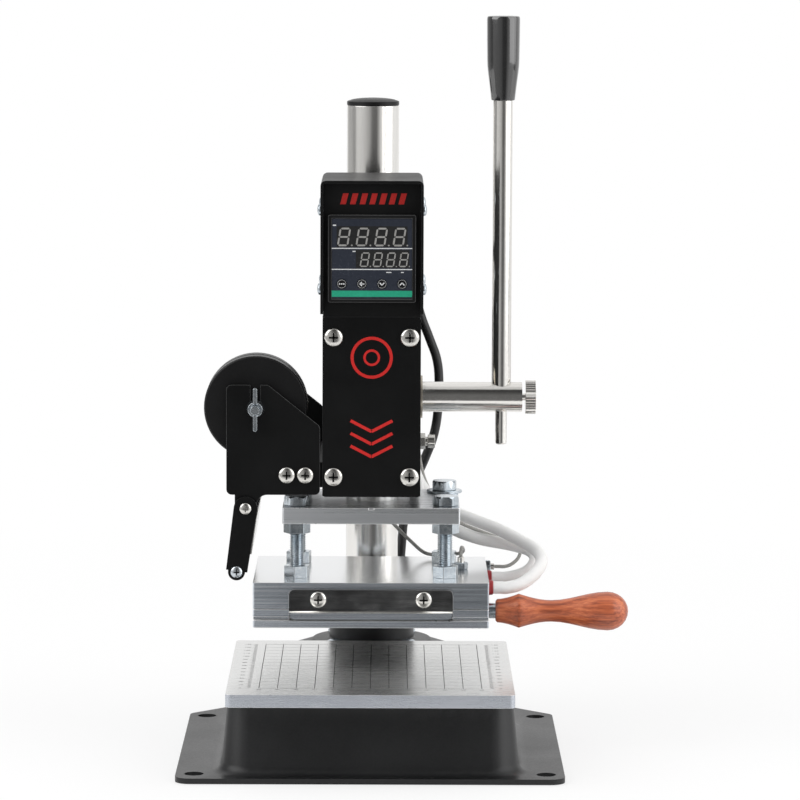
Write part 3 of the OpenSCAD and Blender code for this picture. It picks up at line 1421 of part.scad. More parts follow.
module thermocouples() {
  color(bright_steel) {
    translate([probe_x, probe_y, block_top - probe_deep + 0.5]) cylinder(d = small_d, h = probe_deep - 0.5);
    translate([probe_x, probe_y, block_top]) hexagon(7, 4);
    translate([probe_x, probe_y, block_top + 4]) cylinder(d = 3.4, h = 3);
    tube(curve(probe_lead, 2), probe_lead_d, 8);
    to_left([block_w / 2, side_probe_y, side_probe_z]) cylinder(d = small_d, h = probe_deep - 0.5);
    to_right([block_w / 2, side_probe_y, side_probe_z]) hexagon(7, 3);
    to_right([block_w / 2 + 3, side_probe_y, side_probe_z]) cylinder(d = 3.4, h = 2);
    tube(curve(side_lead, 2), probe_lead_d, 8);
  }
}

module heater_leads() {
  color(white_sleeve) {
    tube(curve(lead_front, 2), lead_d, 10);
    tube(curve(lead_rear, 2), lead_d, 10);
  }
}

module power_cord() {
  color(black_plastic) tube(curve(cord_path, 3), cord_d, 10);
}

module cord_coil() {
  color(black_plastic) tube(coil_path, cord_d, 6);
}

module cord_plug() {
  blade_len = 17;
  blade_w = 6.3;
  blade_t = 1.5;
  blade_pitch = 12.7;
  color(black_plastic) translate([coil_x - plug_tail, coil_y + coil_out, coil_z + coil_step]) {
    to_left([0, 0, 0]) cylinder(d1 = cord_d + 3, d2 = 12, h = 10);
    translate([-plug_len, -plug_w / 2, -plug_h / 2]) cube([plug_len - 8, plug_w, plug_h]);
    for (i = [-1, 1]) translate([-plug_len - blade_len, i * blade_pitch / 2 - blade_t / 2, -blade_w / 2])
      cube([blade_len + 1, blade_t, blade_w]);
  }
}

base_plate();
column_flange();
base_screws();
column();
column_cap();
work_table();
head_housing();
clamp_screws();
front_cover();
cover_screws();
bronze_bushes();
ram_lock_screw();
spring_pin();
return_spring();
control_chassis();
control_cover();
control_cover_screws();
controller_case();
controller_face();
key_set();
key_shift();
key_down();
key_up();
switch_frame();
switch_rocker();
cord_gland();
foil_bracket();
foil_plate_front();
foil_plate_rear();
foil_screws();
foil_spindle();
foil_disc_front();
foil_disc_rear();
spindle_wing_nut();
foil_arms();
guide_strip();
guide_roller();
roller_axle();
pinion_shaft();
pinion_gear();
lever_rod();
lever_grip();
lever_thumbscrew();
ram();
upper_plate();
press_bolts();
levelling_nuts();
heat_block();
cartridge_heaters();
heater_seals();
guide_clips();
clip_screws();
die_plate();
handle_stud();
wood_handle();
thermocouples();
heater_leads();
power_cord();
cord_coil();
cord_plug();
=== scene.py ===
import json
import math

import bmesh
import bpy
from mathutils import Matrix, Vector


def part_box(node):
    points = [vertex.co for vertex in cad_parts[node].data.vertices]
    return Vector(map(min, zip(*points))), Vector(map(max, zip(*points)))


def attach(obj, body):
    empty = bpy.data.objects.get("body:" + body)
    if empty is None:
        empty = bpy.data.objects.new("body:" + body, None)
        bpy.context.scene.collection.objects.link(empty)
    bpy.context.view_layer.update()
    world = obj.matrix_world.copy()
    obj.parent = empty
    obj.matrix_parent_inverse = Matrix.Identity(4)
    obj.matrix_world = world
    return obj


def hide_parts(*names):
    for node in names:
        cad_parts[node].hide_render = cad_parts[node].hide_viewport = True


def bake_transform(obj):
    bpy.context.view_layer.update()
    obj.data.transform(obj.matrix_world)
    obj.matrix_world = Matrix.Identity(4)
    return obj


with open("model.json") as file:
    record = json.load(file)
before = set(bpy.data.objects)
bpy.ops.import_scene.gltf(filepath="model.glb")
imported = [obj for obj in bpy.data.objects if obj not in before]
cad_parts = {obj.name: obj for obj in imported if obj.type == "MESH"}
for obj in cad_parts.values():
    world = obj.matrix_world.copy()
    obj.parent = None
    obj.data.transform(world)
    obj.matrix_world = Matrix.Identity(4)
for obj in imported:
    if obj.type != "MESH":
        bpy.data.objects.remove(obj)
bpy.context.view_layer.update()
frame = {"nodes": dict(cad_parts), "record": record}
cadNodes = frame["nodes"]
bodies = frame["record"]["behaviour"]["bodies"]
bodyOf = {node: body for body, members in bodies.items() for node in members}
scene = bpy.context.scene
scene.view_settings.view_transform = "Standard"
mm = 0.001
fullTurn = 2 * math.pi
print("frame loaded,", len(cadNodes), "nodes")


# camera: place in metres, lens and sensor in mm, angles in degrees
cameraSetup = {"place": (0.00723, -2.3401, 0.4571), "lens": 191.16, "sensor": 36, "reach": 60,
               "down": 6.3505, "turn": 0.207, "tilt": 0.2144}


def makeCamera(setup):
    down, turn, tilt = (math.radians(setup[key]) for key in ("down", "turn", "tilt"))
    right = Vector((math.cos(turn), -math.sin(turn), 0))
    ahead = Vector((math.sin(turn) * math.cos(down), math.cos(turn) * math.cos(down), -math.sin(down)))
    up = right.cross(ahead)
    side = math.cos(tilt) * right + math.sin(tilt) * up
    top = -math.sin(tilt) * right + math.cos(tilt) * up
    data = bpy.data.cameras.new("studioCamera")
    data.lens = setup["lens"]
    data.sensor_width = setup["sensor"]
    data.clip_end = setup["reach"]
    camera = bpy.data.objects.new("studioCamera", data)
    turned = Matrix((side, top, -ahead)).transposed().to_4x4()
    camera.matrix_world = Matrix.Translation(setup["place"]) @ turned
    scene.collection.objects.link(camera)
    scene.camera = camera


makeCamera(cameraSetup)


# helpers for shader nodes; a source is another node's output or a plain value
def addNode(tree, kind, links=None, **values):
    node = tree.nodes.new(kind)
    for key, value in values.items():
        socket = node.inputs.get(key.replace("_", " ")) if key[0].isupper() else None
        if socket is None:
            setattr(node, key, value)
        else:
            socket.default_value = value
    for key, source in (links or {}).items():
        if isinstance(source, bpy.types.NodeSocket):
            tree.links.new(source, node.inputs[key])
        else:
            node.inputs[key].default_value = source
    return node


def newFinish(name, **sockets):
    finish = bpy.data.materials.new(name)
    finish.use_nodes = True
    shader = finish.node_tree.nodes["Principled BSDF"]
    for key, value in sockets.items():
        shader.inputs[key.replace("_", " ")].default_value = value
    return finish, finish.node_tree, shader


def placeCoords(tree, stretch=(1, 1, 1), turn=(0, 0, 0), kind="Object"):
    coords = addNode(tree, "ShaderNodeTexCoord").outputs[kind]
    mapped = addNode(tree, "ShaderNodeMapping", {"Vector": coords}, Scale=stretch, Rotation=turn)
    return mapped.outputs["Vector"]


def colorSteps(tree, source, steps):
    ramp = addNode(tree, "ShaderNodeValToRGB", {"Fac": source})
    parts = ramp.color_ramp.elements
    while len(parts) < len(steps):
        parts.new(0.5)
    for part, (spot, color) in zip(parts, steps):
        part.position = spot
        part.color = (*color, 1)
    return ramp.outputs["Color"]


def spread(tree, source, low, high, fromLow=0.3, fromHigh=0.7):
    limits = {"Value": source, "From Min": fromLow, "From Max": fromHigh, "To Min": low, "To Max": high}
    return addNode(tree, "ShaderNodeMapRange", limits).outputs["Result"]


def noise(tree, coords, **values):
    return addNode(tree, "ShaderNodeTexNoise", {"Vector": coords}, **values).outputs["Fac"]


def combine(tree, operation, *sources):
    return addNode(tree, "ShaderNodeMath", dict(enumerate(sources)), operation=operation).outputs["Value"]


def mixValues(tree, share, first, second):
    return addNode(tree, "ShaderNodeMix", {"Factor": share, "A": first, "B": second}).outputs["Result"]


def mixColors(tree, share, first, second):  # the colour sockets have places 6 and 7 in, 2 out
    return addNode(tree, "ShaderNodeMix", {"Factor": share, 6: first, 7: second}, data_type="RGBA").outputs[2]


# colour and gloss on the shader, with a bump from the given height
def wireUp(tree, shader, color, gloss, height, look):
    rough = spread(tree, gloss, *look["rough"])
    bump = addNode(tree, "ShaderNodeBump", {"Height": height}, Strength=look["bump"], Distance=look["deep"])
    for socket, source in (("Base Color", color), ("Roughness", rough), ("Normal", bump.outputs["Normal"])):
        tree.links.new(source, shader.inputs[socket])


# a grained finish: fine grain for bump, broad clouds with it for colour and gloss
plainLook = {"grain": 900.0, "stretch": (1, 1, 1), "cloud": 35.0, "cloudStretch": (1, 1, 1),
             "cloudShare": 0.5, "metal": 0.0, "shine": 0.5, "coat": 0.0, "coatRough": 0.05, "deep": 0.00003}


def grainFinish(name, ownLook):
    look = {**plainLook, **ownLook}
    finish, tree, shader = newFinish(name, Metallic=look["metal"], Specular_IOR_Level=look["shine"],
                                     Coat_Weight=look["coat"], Coat_Roughness=look["coatRough"])
    fine = noise(tree, placeCoords(tree, look["stretch"]), Scale=look["grain"], Detail=3.0, Roughness=0.6)
    clouds = placeCoords(tree, look["cloudStretch"])
    broad = noise(tree, clouds, Scale=look["cloud"], Detail=4.0, Roughness=0.55)
    mixed = mixValues(tree, look["cloudShare"], fine, broad)
    shade = colorSteps(tree, mixed, look["colors"])
    if "shadeSideColors" in look:  # painted shade: upright faces take darker, bluer colours for the dark surroundings they reflect, level ones the lighter colours
        normal = addNode(tree, "ShaderNodeTexCoord").outputs["Normal"]
        split = addNode(tree, "ShaderNodeSeparateXYZ", {"Vector": normal})
        level = spread(tree, combine(tree, "ABSOLUTE", split.outputs["Z"]), 0, 1, 0.4, 0.8)
        shade = mixColors(tree, level, colorSteps(tree, mixed, look["shadeSideColors"]), shade)
    wireUp(tree, shader, shade, mixed, fine, look)
    return finish


def tones(dark, light):
    return [(0.3, dark), (0.7, light)]


sawnLook = {"grain": 260.0, "stretch": (0.03, 6.0, 6.0), "cloud": 12.0, "cloudStretch": (0.4, 2.0, 4.0),
            "metal": 1.0, "deep": 0.00005}
edgeLook = {"grain": 1500.0, "rough": (0.3, 0.42), "bump": 0.2, "deep": 0.00005}
windowLook = {"grain": 500.0, "cloud": 25.0, "rough": (0.2, 0.3), "bump": 0.01, "shine": 0.3}
redLook = {"rough": (0.4, 0.55), "bump": 0.08, "shine": 0.25}
finishLooks = {
    "headPaint": {"grain": 1500.0, "rough": (0.34, 0.5), "bump": 0.35, "deep": 0.00012, "shine": 0.17,
                  "colors": tones((0.0026, 0.0027, 0.0028), (0.0062, 0.0064, 0.0066))},
    "boxPaint": {"grain": 1900.0, "rough": (0.36, 0.52), "bump": 0.3, "deep": 0.0001, "shine": 0.2,
                 "colors": tones((0.0030, 0.0031, 0.0032), (0.0070, 0.0072, 0.0074))},
    "basePaint": {"cloud": 18.0, "rough": (0.3, 0.44), "bump": 0.25, "deep": 0.00015, "shine": 0.4,
                  "colors": tones((0.0085, 0.0087, 0.0092), (0.0170, 0.0174, 0.0184))},
    "sawnAluminium": {
        **sawnLook, "rough": (0.24, 0.34), "bump": 0.07,
        "colors": [(0.25, (0.64, 0.665, 0.695)), (0.5, (0.75, 0.77, 0.795)), (0.8, (0.86, 0.87, 0.89))]},
    # blockAluminium: the darker, bluer side colours are painted shade on its upright faces
    "blockAluminium": {
        **sawnLook, "rough": (0.16, 0.26), "bump": 0.06,
        "colors": [(0.25, (0.74, 0.76, 0.77)), (0.5, (0.82, 0.83, 0.84)), (0.8, (0.90, 0.90, 0.90))],
        "shadeSideColors": [(0.3, (0.34, 0.38, 0.43)), (0.5, (0.53, 0.57, 0.62)), (0.7, (0.76, 0.80, 0.84))]},
    # tableAluminium: the darker, bluer side colours are painted shade on its upright faces
    "tableAluminium": {"grain": 420.0, "stretch": (0.12, 4.0, 4.0), "cloud": 9.0, "metal": 0.9,
                       "rough": (0.22, 0.32), "bump": 0.03,
                       "colors": tones((0.72, 0.72, 0.71), (0.80, 0.80, 0.79)),
                       "shadeSideColors": tones((0.43, 0.455, 0.50), (0.585, 0.61, 0.66))},
    # paler rim on the eased edges of aluminium and clips: painted highlight
    "paintedMetalEdgeHighlight": {"grain": 420.0, "metal": 0.7, "rough": (0.25, 0.35), "bump": 0.03,
                   "colors": tones((0.86, 0.87, 0.88), (0.94, 0.94, 0.94))},
    "ramSteel": {"grain": 500.0, "cloud": 20.0, "metal": 0.55, "rough": (0.25, 0.35), "bump": 0.03,
                 "colors": tones((0.82, 0.82, 0.80), (0.90, 0.90, 0.88))},
    # painted shade for the screw recesses
    "paintedRecessShade": {"rough": (0.6, 0.8), "bump": 0.1, "deep": 0.00005, "shine": 0.1,
                   "colors": tones((0.006, 0.006, 0.006), (0.016, 0.016, 0.016))},
    # paler rims on the eased edges of black paint and plastic: painted highlight
    "paintedEdgeHighlight": {**edgeLook, "colors": tones((0.018, 0.018, 0.019), (0.034, 0.034, 0.035))},
    "paintedPaleEdgeHighlight": {**edgeLook, "colors": tones((0.05, 0.05, 0.051), (0.085, 0.085, 0.086))},
    "nickelPlate": {"grain": 700.0, "cloud": 22.0, "metal": 1.0, "rough": (0.12, 0.2), "bump": 0.03,
                    "colors": tones((0.80, 0.78, 0.745), (0.90, 0.885, 0.855))},
    "drawnTube": {"grain": 500.0, "stretch": (6.0, 6.0, 0.06), "cloud": 20.0, "cloudStretch": (3.0, 3.0, 0.2),
                  "metal": 1.0, "rough": (0.17, 0.27), "bump": 0.05, "deep": 0.00004,
                  "colors": tones((0.78, 0.765, 0.735), (0.90, 0.885, 0.86))},
    "zincPlate": {
        "grain": 600.0, "cloud": 60.0, "metal": 1.0, "rough": (0.16, 0.3), "bump": 0.06, "deep": 0.00005,
        "colors": [(0.25, (0.42, 0.48, 0.53)), (0.5, (0.56, 0.61, 0.65)), (0.8, (0.74, 0.77, 0.79))]},
    "screwPlate": {"grain": 600.0, "cloud": 90.0, "metal": 1.0, "rough": (0.14, 0.24), "bump": 0.05,
                   "deep": 0.00004, "colors": tones((0.60, 0.585, 0.55), (0.76, 0.745, 0.71))},
    "clipSteel": {
        "grain": 240.0, "stretch": (0.2, 3.0, 3.0), "cloud": 55.0, "cloudShare": 0.7, "metal": 1.0,
        "rough": (0.12, 0.24), "bump": 0.05, "deep": 0.00004,
        "colors": [(0.3, (0.08, 0.081, 0.082)), (0.5, (0.17, 0.171, 0.172)), (0.75, (0.32, 0.32, 0.32))]},
    "sinteredBronze": {"metal": 1.0, "rough": (0.3, 0.45), "bump": 0.2, "deep": 0.00005,
                       "colors": tones((0.60, 0.54, 0.44), (0.78, 0.72, 0.62))},
    "mouldedPlastic": {"grain": 1300.0, "rough": (0.32, 0.46), "bump": 0.18, "deep": 0.00008, "shine": 0.26,
                       "colors": tones((0.0045, 0.0045, 0.0047), (0.0095, 0.0095, 0.0100))},
    "gripPlastic": {"grain": 300.0, "cloud": 20.0, "rough": (0.1, 0.18), "bump": 0.02, "deep": 0.00005,
                    "shine": 0.9, "coat": 1.0,
                    "colors": tones((0.008, 0.008, 0.0082), (0.016, 0.016, 0.0165))},
    "meterWindow": {**windowLook, "colors": tones((0.021, 0.025, 0.036), (0.032, 0.037, 0.052))},
    "digitWindow": {**windowLook, "colors": tones((0.017, 0.0172, 0.0175), (0.025, 0.0252, 0.0256))},
    "digitGlass": {"rough": (0.3, 0.42), "bump": 0.04,
                   "colors": tones((0.24, 0.235, 0.225), (0.38, 0.375, 0.36))},
    "sealRed": {"grain": 700.0, "cloud": 220.0, "rough": (0.25, 0.5), "bump": 0.5, "deep": 0.0003,
                "colors": tones((0.22, 0.008, 0.012), (0.44, 0.025, 0.03))},
    "cordRubber": {"grain": 1100.0, "rough": (0.36, 0.5), "bump": 0.12, "deep": 0.00006,
                   "colors": tones((0.008, 0.008, 0.0085), (0.018, 0.018, 0.019))},
    "printRed": {**redLook, "colors": tones((0.52, 0.014, 0.012), (0.64, 0.026, 0.022))},
    "printDarkRed": {**redLook, "colors": tones((0.34, 0.010, 0.008), (0.44, 0.018, 0.015))},
    "printGreen": {"rough": (0.3, 0.42), "bump": 0.05,
                   "colors": tones((0.008, 0.29, 0.165), (0.016, 0.38, 0.225))},
    "printPale": {"rough": (0.3, 0.45), "bump": 0.04,
                  "colors": tones((0.60, 0.61, 0.62), (0.76, 0.77, 0.78))},
    "rulingInk": {"rough": (0.5, 0.7), "bump": 0.05, "shine": 0.1,
                  "colors": tones((0.020, 0.020, 0.020), (0.05, 0.05, 0.05))},
    "faintInk": {"rough": (0.4, 0.55), "bump": 0.05, "metal": 0.7,
                 "colors": tones((0.40, 0.40, 0.40), (0.52, 0.52, 0.52))},
}
finishes = {name: grainFinish(name, look) for name, look in finishLooks.items()}


# reddish varnished wood, grain running along the handle
woodLook = {
    "rings": 70.0, "warp": 90.0, "along": (0.09, 1.0, 1.0), "lean": (0, 0.02, 0.03), "warpShare": 0.75,
    "fibre": 800.0, "fibreAlong": (0.03, 1.0, 1.0), "fibreShare": 0.6,
    "rough": (0.34, 0.5), "bump": 0.25, "deep": 0.0002,
    "colors": [(0.32, (0.16, 0.028, 0.010)), (0.5, (0.50, 0.112, 0.038)), (0.64, (0.70, 0.205, 0.078))],
}


def makeWood(look):
    finish, tree, shader = newFinish("turnedWood", Coat_Weight=0.35, Coat_Roughness=0.25)
    along = placeCoords(tree, look["along"], look["lean"])
    rings = addNode(tree, "ShaderNodeTexWave", {"Vector": along}, bands_direction="Y", Scale=look["rings"],
                    Distortion=5.0, Detail=3.0, Detail_Scale=1.4).outputs["Fac"]
    warp = noise(tree, along, Scale=look["warp"], Detail=4.0, Distortion=0.4)
    threads = placeCoords(tree, look["fibreAlong"])
    fibre = noise(tree, threads, Scale=look["fibre"], Detail=4.0, Roughness=0.65)
    grain = mixValues(tree, look["fibreShare"], mixValues(tree, look["warpShare"], rings, warp), fibre)
    wireUp(tree, shader, colorSteps(tree, grain, look["colors"]), grain, grain, look)
    return finish


finishes["turnedWood"] = makeWood(woodLook)


# woven tube, two sets of strands crossing, laid out on the tube's own coordinates
braidLooks = {
    "whiteSleeve": {"metal": 0.0, "sheen": 0.2, "strands": 14.0, "rough": (0.6, 0.45),
                    "bump": 0.3, "deep": 0.0003,
                    "colors": [(0.1, (0.88, 0.875, 0.86)), (0.5, (0.96, 0.955, 0.945))]},
    "probeBraid": {"metal": 0.85, "sheen": 0.0, "strands": 9.0, "rough": (0.5, 0.3),
                   "bump": 0.6, "deep": 0.0003,
                   "colors": [(0.1, (0.22, 0.21, 0.20)), (0.5, (0.62, 0.61, 0.58))]},
}


def makeBraid(name, look):
    finish, tree, shader = newFinish(name, Metallic=look["metal"], Sheen_Weight=look["sheen"])
    waves = []
    for lean in (0.785, -0.785):  # an eighth of a turn either way
        strands = placeCoords(tree, turn=(0, 0, lean), kind="UV")
        waves.append(addNode(tree, "ShaderNodeTexWave", {"Vector": strands}, Scale=look["strands"],
                             Distortion=0.6, Detail=1.0).outputs["Fac"])
    crossed = combine(tree, "MULTIPLY", *waves)
    mixed = mixValues(tree, 0.35, crossed, noise(tree, placeCoords(tree), Scale=60.0, Detail=4.0))
    wireUp(tree, shader, colorSteps(tree, mixed, look["colors"]), mixed, crossed, look)
    return finish


for braidName, braidLook in braidLooks.items():
    finishes[braidName] = makeBraid(braidName, braidLook)
print("finishes ready,", len(finishes))


# helpers that make pieces; a piece given a bend (other body, start, end) is left in place, tied to no body
def addPiece(name, mesh, finish, body, slot, replaced=(), bend=None):
    piece = bpy.data.objects.new(name, mesh)
    scene.collection.objects.link(piece)
    if not mesh.materials:
        mesh.materials.append(finishes[finish])
    if bend:
        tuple(bend[1])
        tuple(bend[2])
        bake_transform(piece)
    else:
        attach(piece, body)
    if replaced:
        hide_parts(*replaced)
    return piece


def smoothEdges(mesh, angle=35):
    mesh.shade_smooth()
    mesh.set_sharp_from_angle(angle=math.radians(angle))


def meshFrom(shape, name, mend=False, angle=None):
    if mend:
        bmesh.ops.recalc_face_normals(shape, faces=shape.faces)
    mesh = bpy.data.meshes.new(name)
    shape.to_mesh(mesh)
    shape.free()
    if angle:
        smoothEdges(mesh, angle)
    return mesh


# mesh of an object with its modifiers; the object goes
def settledMesh(holder):
    bpy.context.view_layer.update()
    graph = bpy.context.evaluated_depsgraph_get()
    mesh = bpy.data.meshes.new_from_object(holder.evaluated_get(graph))
    bpy.data.objects.remove(holder)
    return mesh


# copy of a CAD solid with its sharp edges eased; gap in metres, angles in degrees
easeLook = {"gap": 2e-6, "flat": 0.6, "corner": 40}


def weldedShape(node):
    shape = bmesh.new()
    shape.from_mesh(cadNodes[node].data)
    bmesh.ops.remove_doubles(shape, verts=shape.verts, dist=easeLook["gap"])
    return shape


def easedMesh(node, edge, rounds=2, coats=()):
    shape = weldedShape(node)
    flat = math.radians(easeLook["flat"])
    bmesh.ops.dissolve_limit(shape, angle_limit=flat, verts=shape.verts, edges=shape.edges)
    mesh = meshFrom(shape, node + ".eased")
    for extra in ("custom_normal", "sharp_face", "sharp_edge"):
        if mesh.attributes.get(extra):
            mesh.attributes.remove(mesh.attributes[extra])
    if edge <= 0:
        smoothEdges(mesh)
        return mesh
    for coat in coats:
        mesh.materials.append(finishes[coat])
    holder = bpy.data.objects.new("holder", mesh)
    scene.collection.objects.link(holder)
    ease = holder.modifiers.new("ease", "BEVEL")
    ease.width = edge * mm
    ease.segments = rounds
    ease.limit_method = "ANGLE"
    ease.angle_limit = math.radians(easeLook["corner"])
    ease.harden_normals = True
    ease.material = len(coats) - 1  # the last coat goes on the eased edges
    mesh.shade_smooth()
    eased = settledMesh(holder)
    eased.name = node + ".eased"
    return eased


# points on a smooth run through the given ones
def smoothRun(points, steps):
    spots = [Vector(p) * mm for p in points]
    ends = [2 * spots[0] - spots[1], *spots, 2 * spots[-1] - spots[-2]]
    run = []
    for a, b, c, d in zip(ends, ends[1:], ends[2:], ends[3:]):
        for k in range(steps):
            t = k / steps
            second, third = 2 * a - 5 * b + 4 * c - d, 3 * b - a - 3 * c + d
            run.append(0.5 * (2 * b + (c - a) * t + second * t * t + third * t ** 3))
    run.append(spots[-1])
    return run


def circle(count):
    return [(math.cos(fullTurn * k / count), math.sin(fullTurn * k / count)) for k in range(count)]


# walls between rows of points; gives each face with its row and its place in the row
def joinRows(shape, rows, closed=True, lids=False):
    faces = []
    for k, (low, high) in enumerate(zip(rows, rows[1:])):
        count = len(low)
        for i in range(count if closed else count - 1):
            j = (i + 1) % count
            faces.append((shape.faces.new((low[i], low[j], high[j], high[i])), k, i))
    if lids:
        shape.faces.new(reversed(rows[0]))
        shape.faces.new(rows[-1])
    return faces


# round tube along a run, with coordinates for a woven finish
def tubeMesh(name, run, radius, sides=20):
    shape = bmesh.new()
    layer = shape.loops.layers.uv.new("weave")
    ahead = [(b - a).normalized() for a, b in zip(run, run[1:])]
    ahead.append(ahead[-1])
    side = ahead[0].orthogonal().normalized()
    rows, far = [], [0.0]
    for k, spot in enumerate(run):
        if k:
            far.append(far[-1] + (spot - run[k - 1]).length / (fullTurn * radius))
        side = (side - side.dot(ahead[k]) * ahead[k]).normalized()
        other = ahead[k].cross(side)
        rows.append([shape.verts.new(spot + radius * (c * side + s * other)) for c, s in circle(sides)])
    for face, k, i in joinRows(shape, rows, lids=True):
        face.smooth = True
        for loop, (u, v) in zip(face.loops, ((i, k), (i + 1, k), (i + 1, k + 1), (i, k + 1))):
            loop[layer].uv = (u / sides, far[v])
    return meshFrom(shape, name)


# body turned from a profile of (radius, height); place turns (across, across, height) into the frame
def turnedMesh(name, profile, place, sides=24):
    shape = bmesh.new()
    rows = [[shape.verts.new(place(r * c, r * s, h)) for c, s in circle(sides)] for r, h in profile]
    joinRows(shape, rows, lids=True)
    return meshFrom(shape, name, mend=True, angle=35)


# thin raised shapes from flat outlines; place turns (across, up, out) into the frame
def addRaised(name, outlines, place, high, finish, body, slot):
    shape = bmesh.new()
    for outline in outlines:
        rows = [[shape.verts.new(place(u, v, out)) for u, v in outline] for out in (0, high)]
        joinRows(shape, rows, lids=True)
    return addPiece(name, meshFrom(shape, name, mend=True), finish, body, slot)


def facing(front, way=-1):
    return lambda u, v, out: Vector((u, front + way * out, v)) * mm


def bandOutlines(points, wide):
    outlines = []
    for (x0, y0), (x1, y1) in zip(points, points[1:]):
        far = math.hypot(x1 - x0, y1 - y0)
        nx, ny = -(y1 - y0) / far * wide / 2, (x1 - x0) / far * wide / 2
        outlines.append([(x0 - nx, y0 - ny), (x1 - nx, y1 - ny), (x1 + nx, y1 + ny), (x0 + nx, y0 + ny)])
    return outlines


def discOutline(x, y, radius, parts=12):
    return [(x + radius * c, y + radius * s) for c, s in circle(parts)]


def ringOutlines(x, y, outer, inner, parts=48):
    spots = list(zip(discOutline(x, y, outer, parts), discOutline(x, y, inner, parts)))
    return [[outA, outB, inB, inA] for (outA, inA), (outB, inB) in zip(spots, spots[1:] + spots[:1])]


def boxOutline(x0, y0, x1, y1):
    return [(x0, y0), (x1, y0), (x1, y1), (x0, y1)]


# mains cord: gland, down behind the column, coil and plug on the floor
cordLook = {"diameter": 5.4, "coilX": 8.0, "coilY": 205.0, "coilIn": 21.375, "layer": 6.0, "low": 2.7,
            "sweep": 2250, "step": 15, "climb": 90, "far": (-24, 243.625, 8.7)}
cordRoute = [
    (19, 82, 271.7), (19, 85, 271.7), (19, 88, 271.7), (19, 99, 269), (21, 110, 261), (24.5, 117.5, 247),
    (28, 120.5, 233), (33.5, 121, 218.5), (37.5, 121, 207), (38.8, 121, 194), (38.3, 121.5, 178),
    (36, 123, 163), (31.5, 126, 150), (25, 131, 134), (19.5, 136, 115), (17.5, 139, 96), (16.5, 144, 74),
    (17, 150, 52), (23, 158.5, 31), (35, 169, 14), (43.5, 182, 5), (46.625, 192.04, 2.7),
    (46.625, 195.82, 2.7), (46.625, 199.6, 2.7)]
plugLook = {"edge": 1.0, "rounds": 3, "pins": 16.8}


# winds inwards on the floor, climbs a layer and winds out again
def coilPoints(look):
    points = []
    for degrees in range(0, look["sweep"] + 1, look["step"]):
        past = degrees - look["sweep"] / 2
        climbed = min(max((past + look["climb"]) / (2 * look["climb"]), 0), 1)
        radius = look["coilIn"] + look["layer"] * (abs(past) - look["climb"]) / 360
        turn = math.radians(degrees)
        points.append((look["coilX"] + radius * math.cos(turn), look["coilY"] + radius * math.sin(turn),
                       look["low"] + look["layer"] * (1 - math.cos(math.pi * climbed)) / 2))
    return points


def makeCord(look):
    points = cordRoute + coilPoints(look) + [look["far"]]
    curve = bpy.data.curves.new("mainsCord", "CURVE")
    curve.dimensions = "3D"
    curve.bevel_depth = look["diameter"] / 2 * mm
    curve.bevel_resolution = 4
    curve.resolution_u = 5
    curve.use_fill_caps = True
    spline = curve.splines.new("BEZIER")
    spline.bezier_points.add(len(points) - 1)
    for knot, point in zip(spline.bezier_points, points):
        knot.co = Vector(point) * mm
        knot.handle_left_type = knot.handle_right_type = "AUTO"
    spots = smoothRun(points, 4)
    print("cord length", sum((b - a).length for a, b in zip(spots, spots[1:])))
    return addPiece("mainsCord", curve, "cordRubber", "frame", "cord_rubber", ("power_cord", "cord_coil"))


def makePlug(look):
    mesh = easedMesh("cord_plug", look["edge"], look["rounds"])
    for coat in ("mouldedPlastic", "nickelPlate"):
        mesh.materials.append(finishes[coat])
    shellEnd = min(v.co.x for v in mesh.vertices) + look["pins"] * mm
    for face in mesh.polygons:
        if all(mesh.vertices[i].co.x < shellEnd for i in face.vertices):
            face.material_index = 1
    return addPiece("mainsPlug", mesh, "mouldedPlastic", "frame", "black_plastic", ("cord_plug",))


# flat tie round the coil
tieLook = {"turn": 205.0, "wide": 6.0, "inside": 16.6, "outside": 41.6, "low": 0.1, "top": 12.0, "thick": 0.9,
           "bulge": 0.8, "bulgeAt": (3, 8.5), "drop": 0.6, "corner": 2}


def makeTie(look):
    turn = math.radians(look["turn"])
    out = Vector((math.cos(turn), math.sin(turn), 0))
    along = Vector((-math.sin(turn), math.cos(turn), 0))
    middle = Vector((cordLook["coilX"], cordLook["coilY"], 0))
    near, far, low, top = (look[key] for key in ("inside", "outside", "low", "top"))
    bulge, corner, shoulder = look["bulge"], look["corner"], top - look["drop"]
    loop = [(near, low), (far, low)] + [(far + bulge, z) for z in look["bulgeAt"]]
    loop += [(far, shoulder), (far - corner, top), (near + corner, top), (near, shoulder)]
    loop += [(near - bulge, z) for z in reversed(look["bulgeAt"])]
    shape = bmesh.new()
    rows = []
    for r, z in loop:
        inward = Vector(((near + far) / 2 - r, 0, top / 2 - z)).normalized() * look["thick"]
        row = []
        for shift, part in ((-1, 0), (1, 0), (1, 1), (-1, 1)):
            spot = middle + out * (r + part * inward.x) + along * shift * look["wide"] / 2
            row.append(shape.verts.new((spot + Vector((0, 0, z + part * inward.z))) * mm))
        rows.append(row)
    joinRows(shape, rows + rows[:1])
    mesh = meshFrom(shape, "coilTie", mend=True, angle=35)
    return addPiece("coilTie", mesh, "mouldedPlastic", "frame", "black_plastic")


mainsCord = makeCord(cordLook)
makePlug(plugLook)
makeTie(tieLook)
print("cord, tie and plug in place")
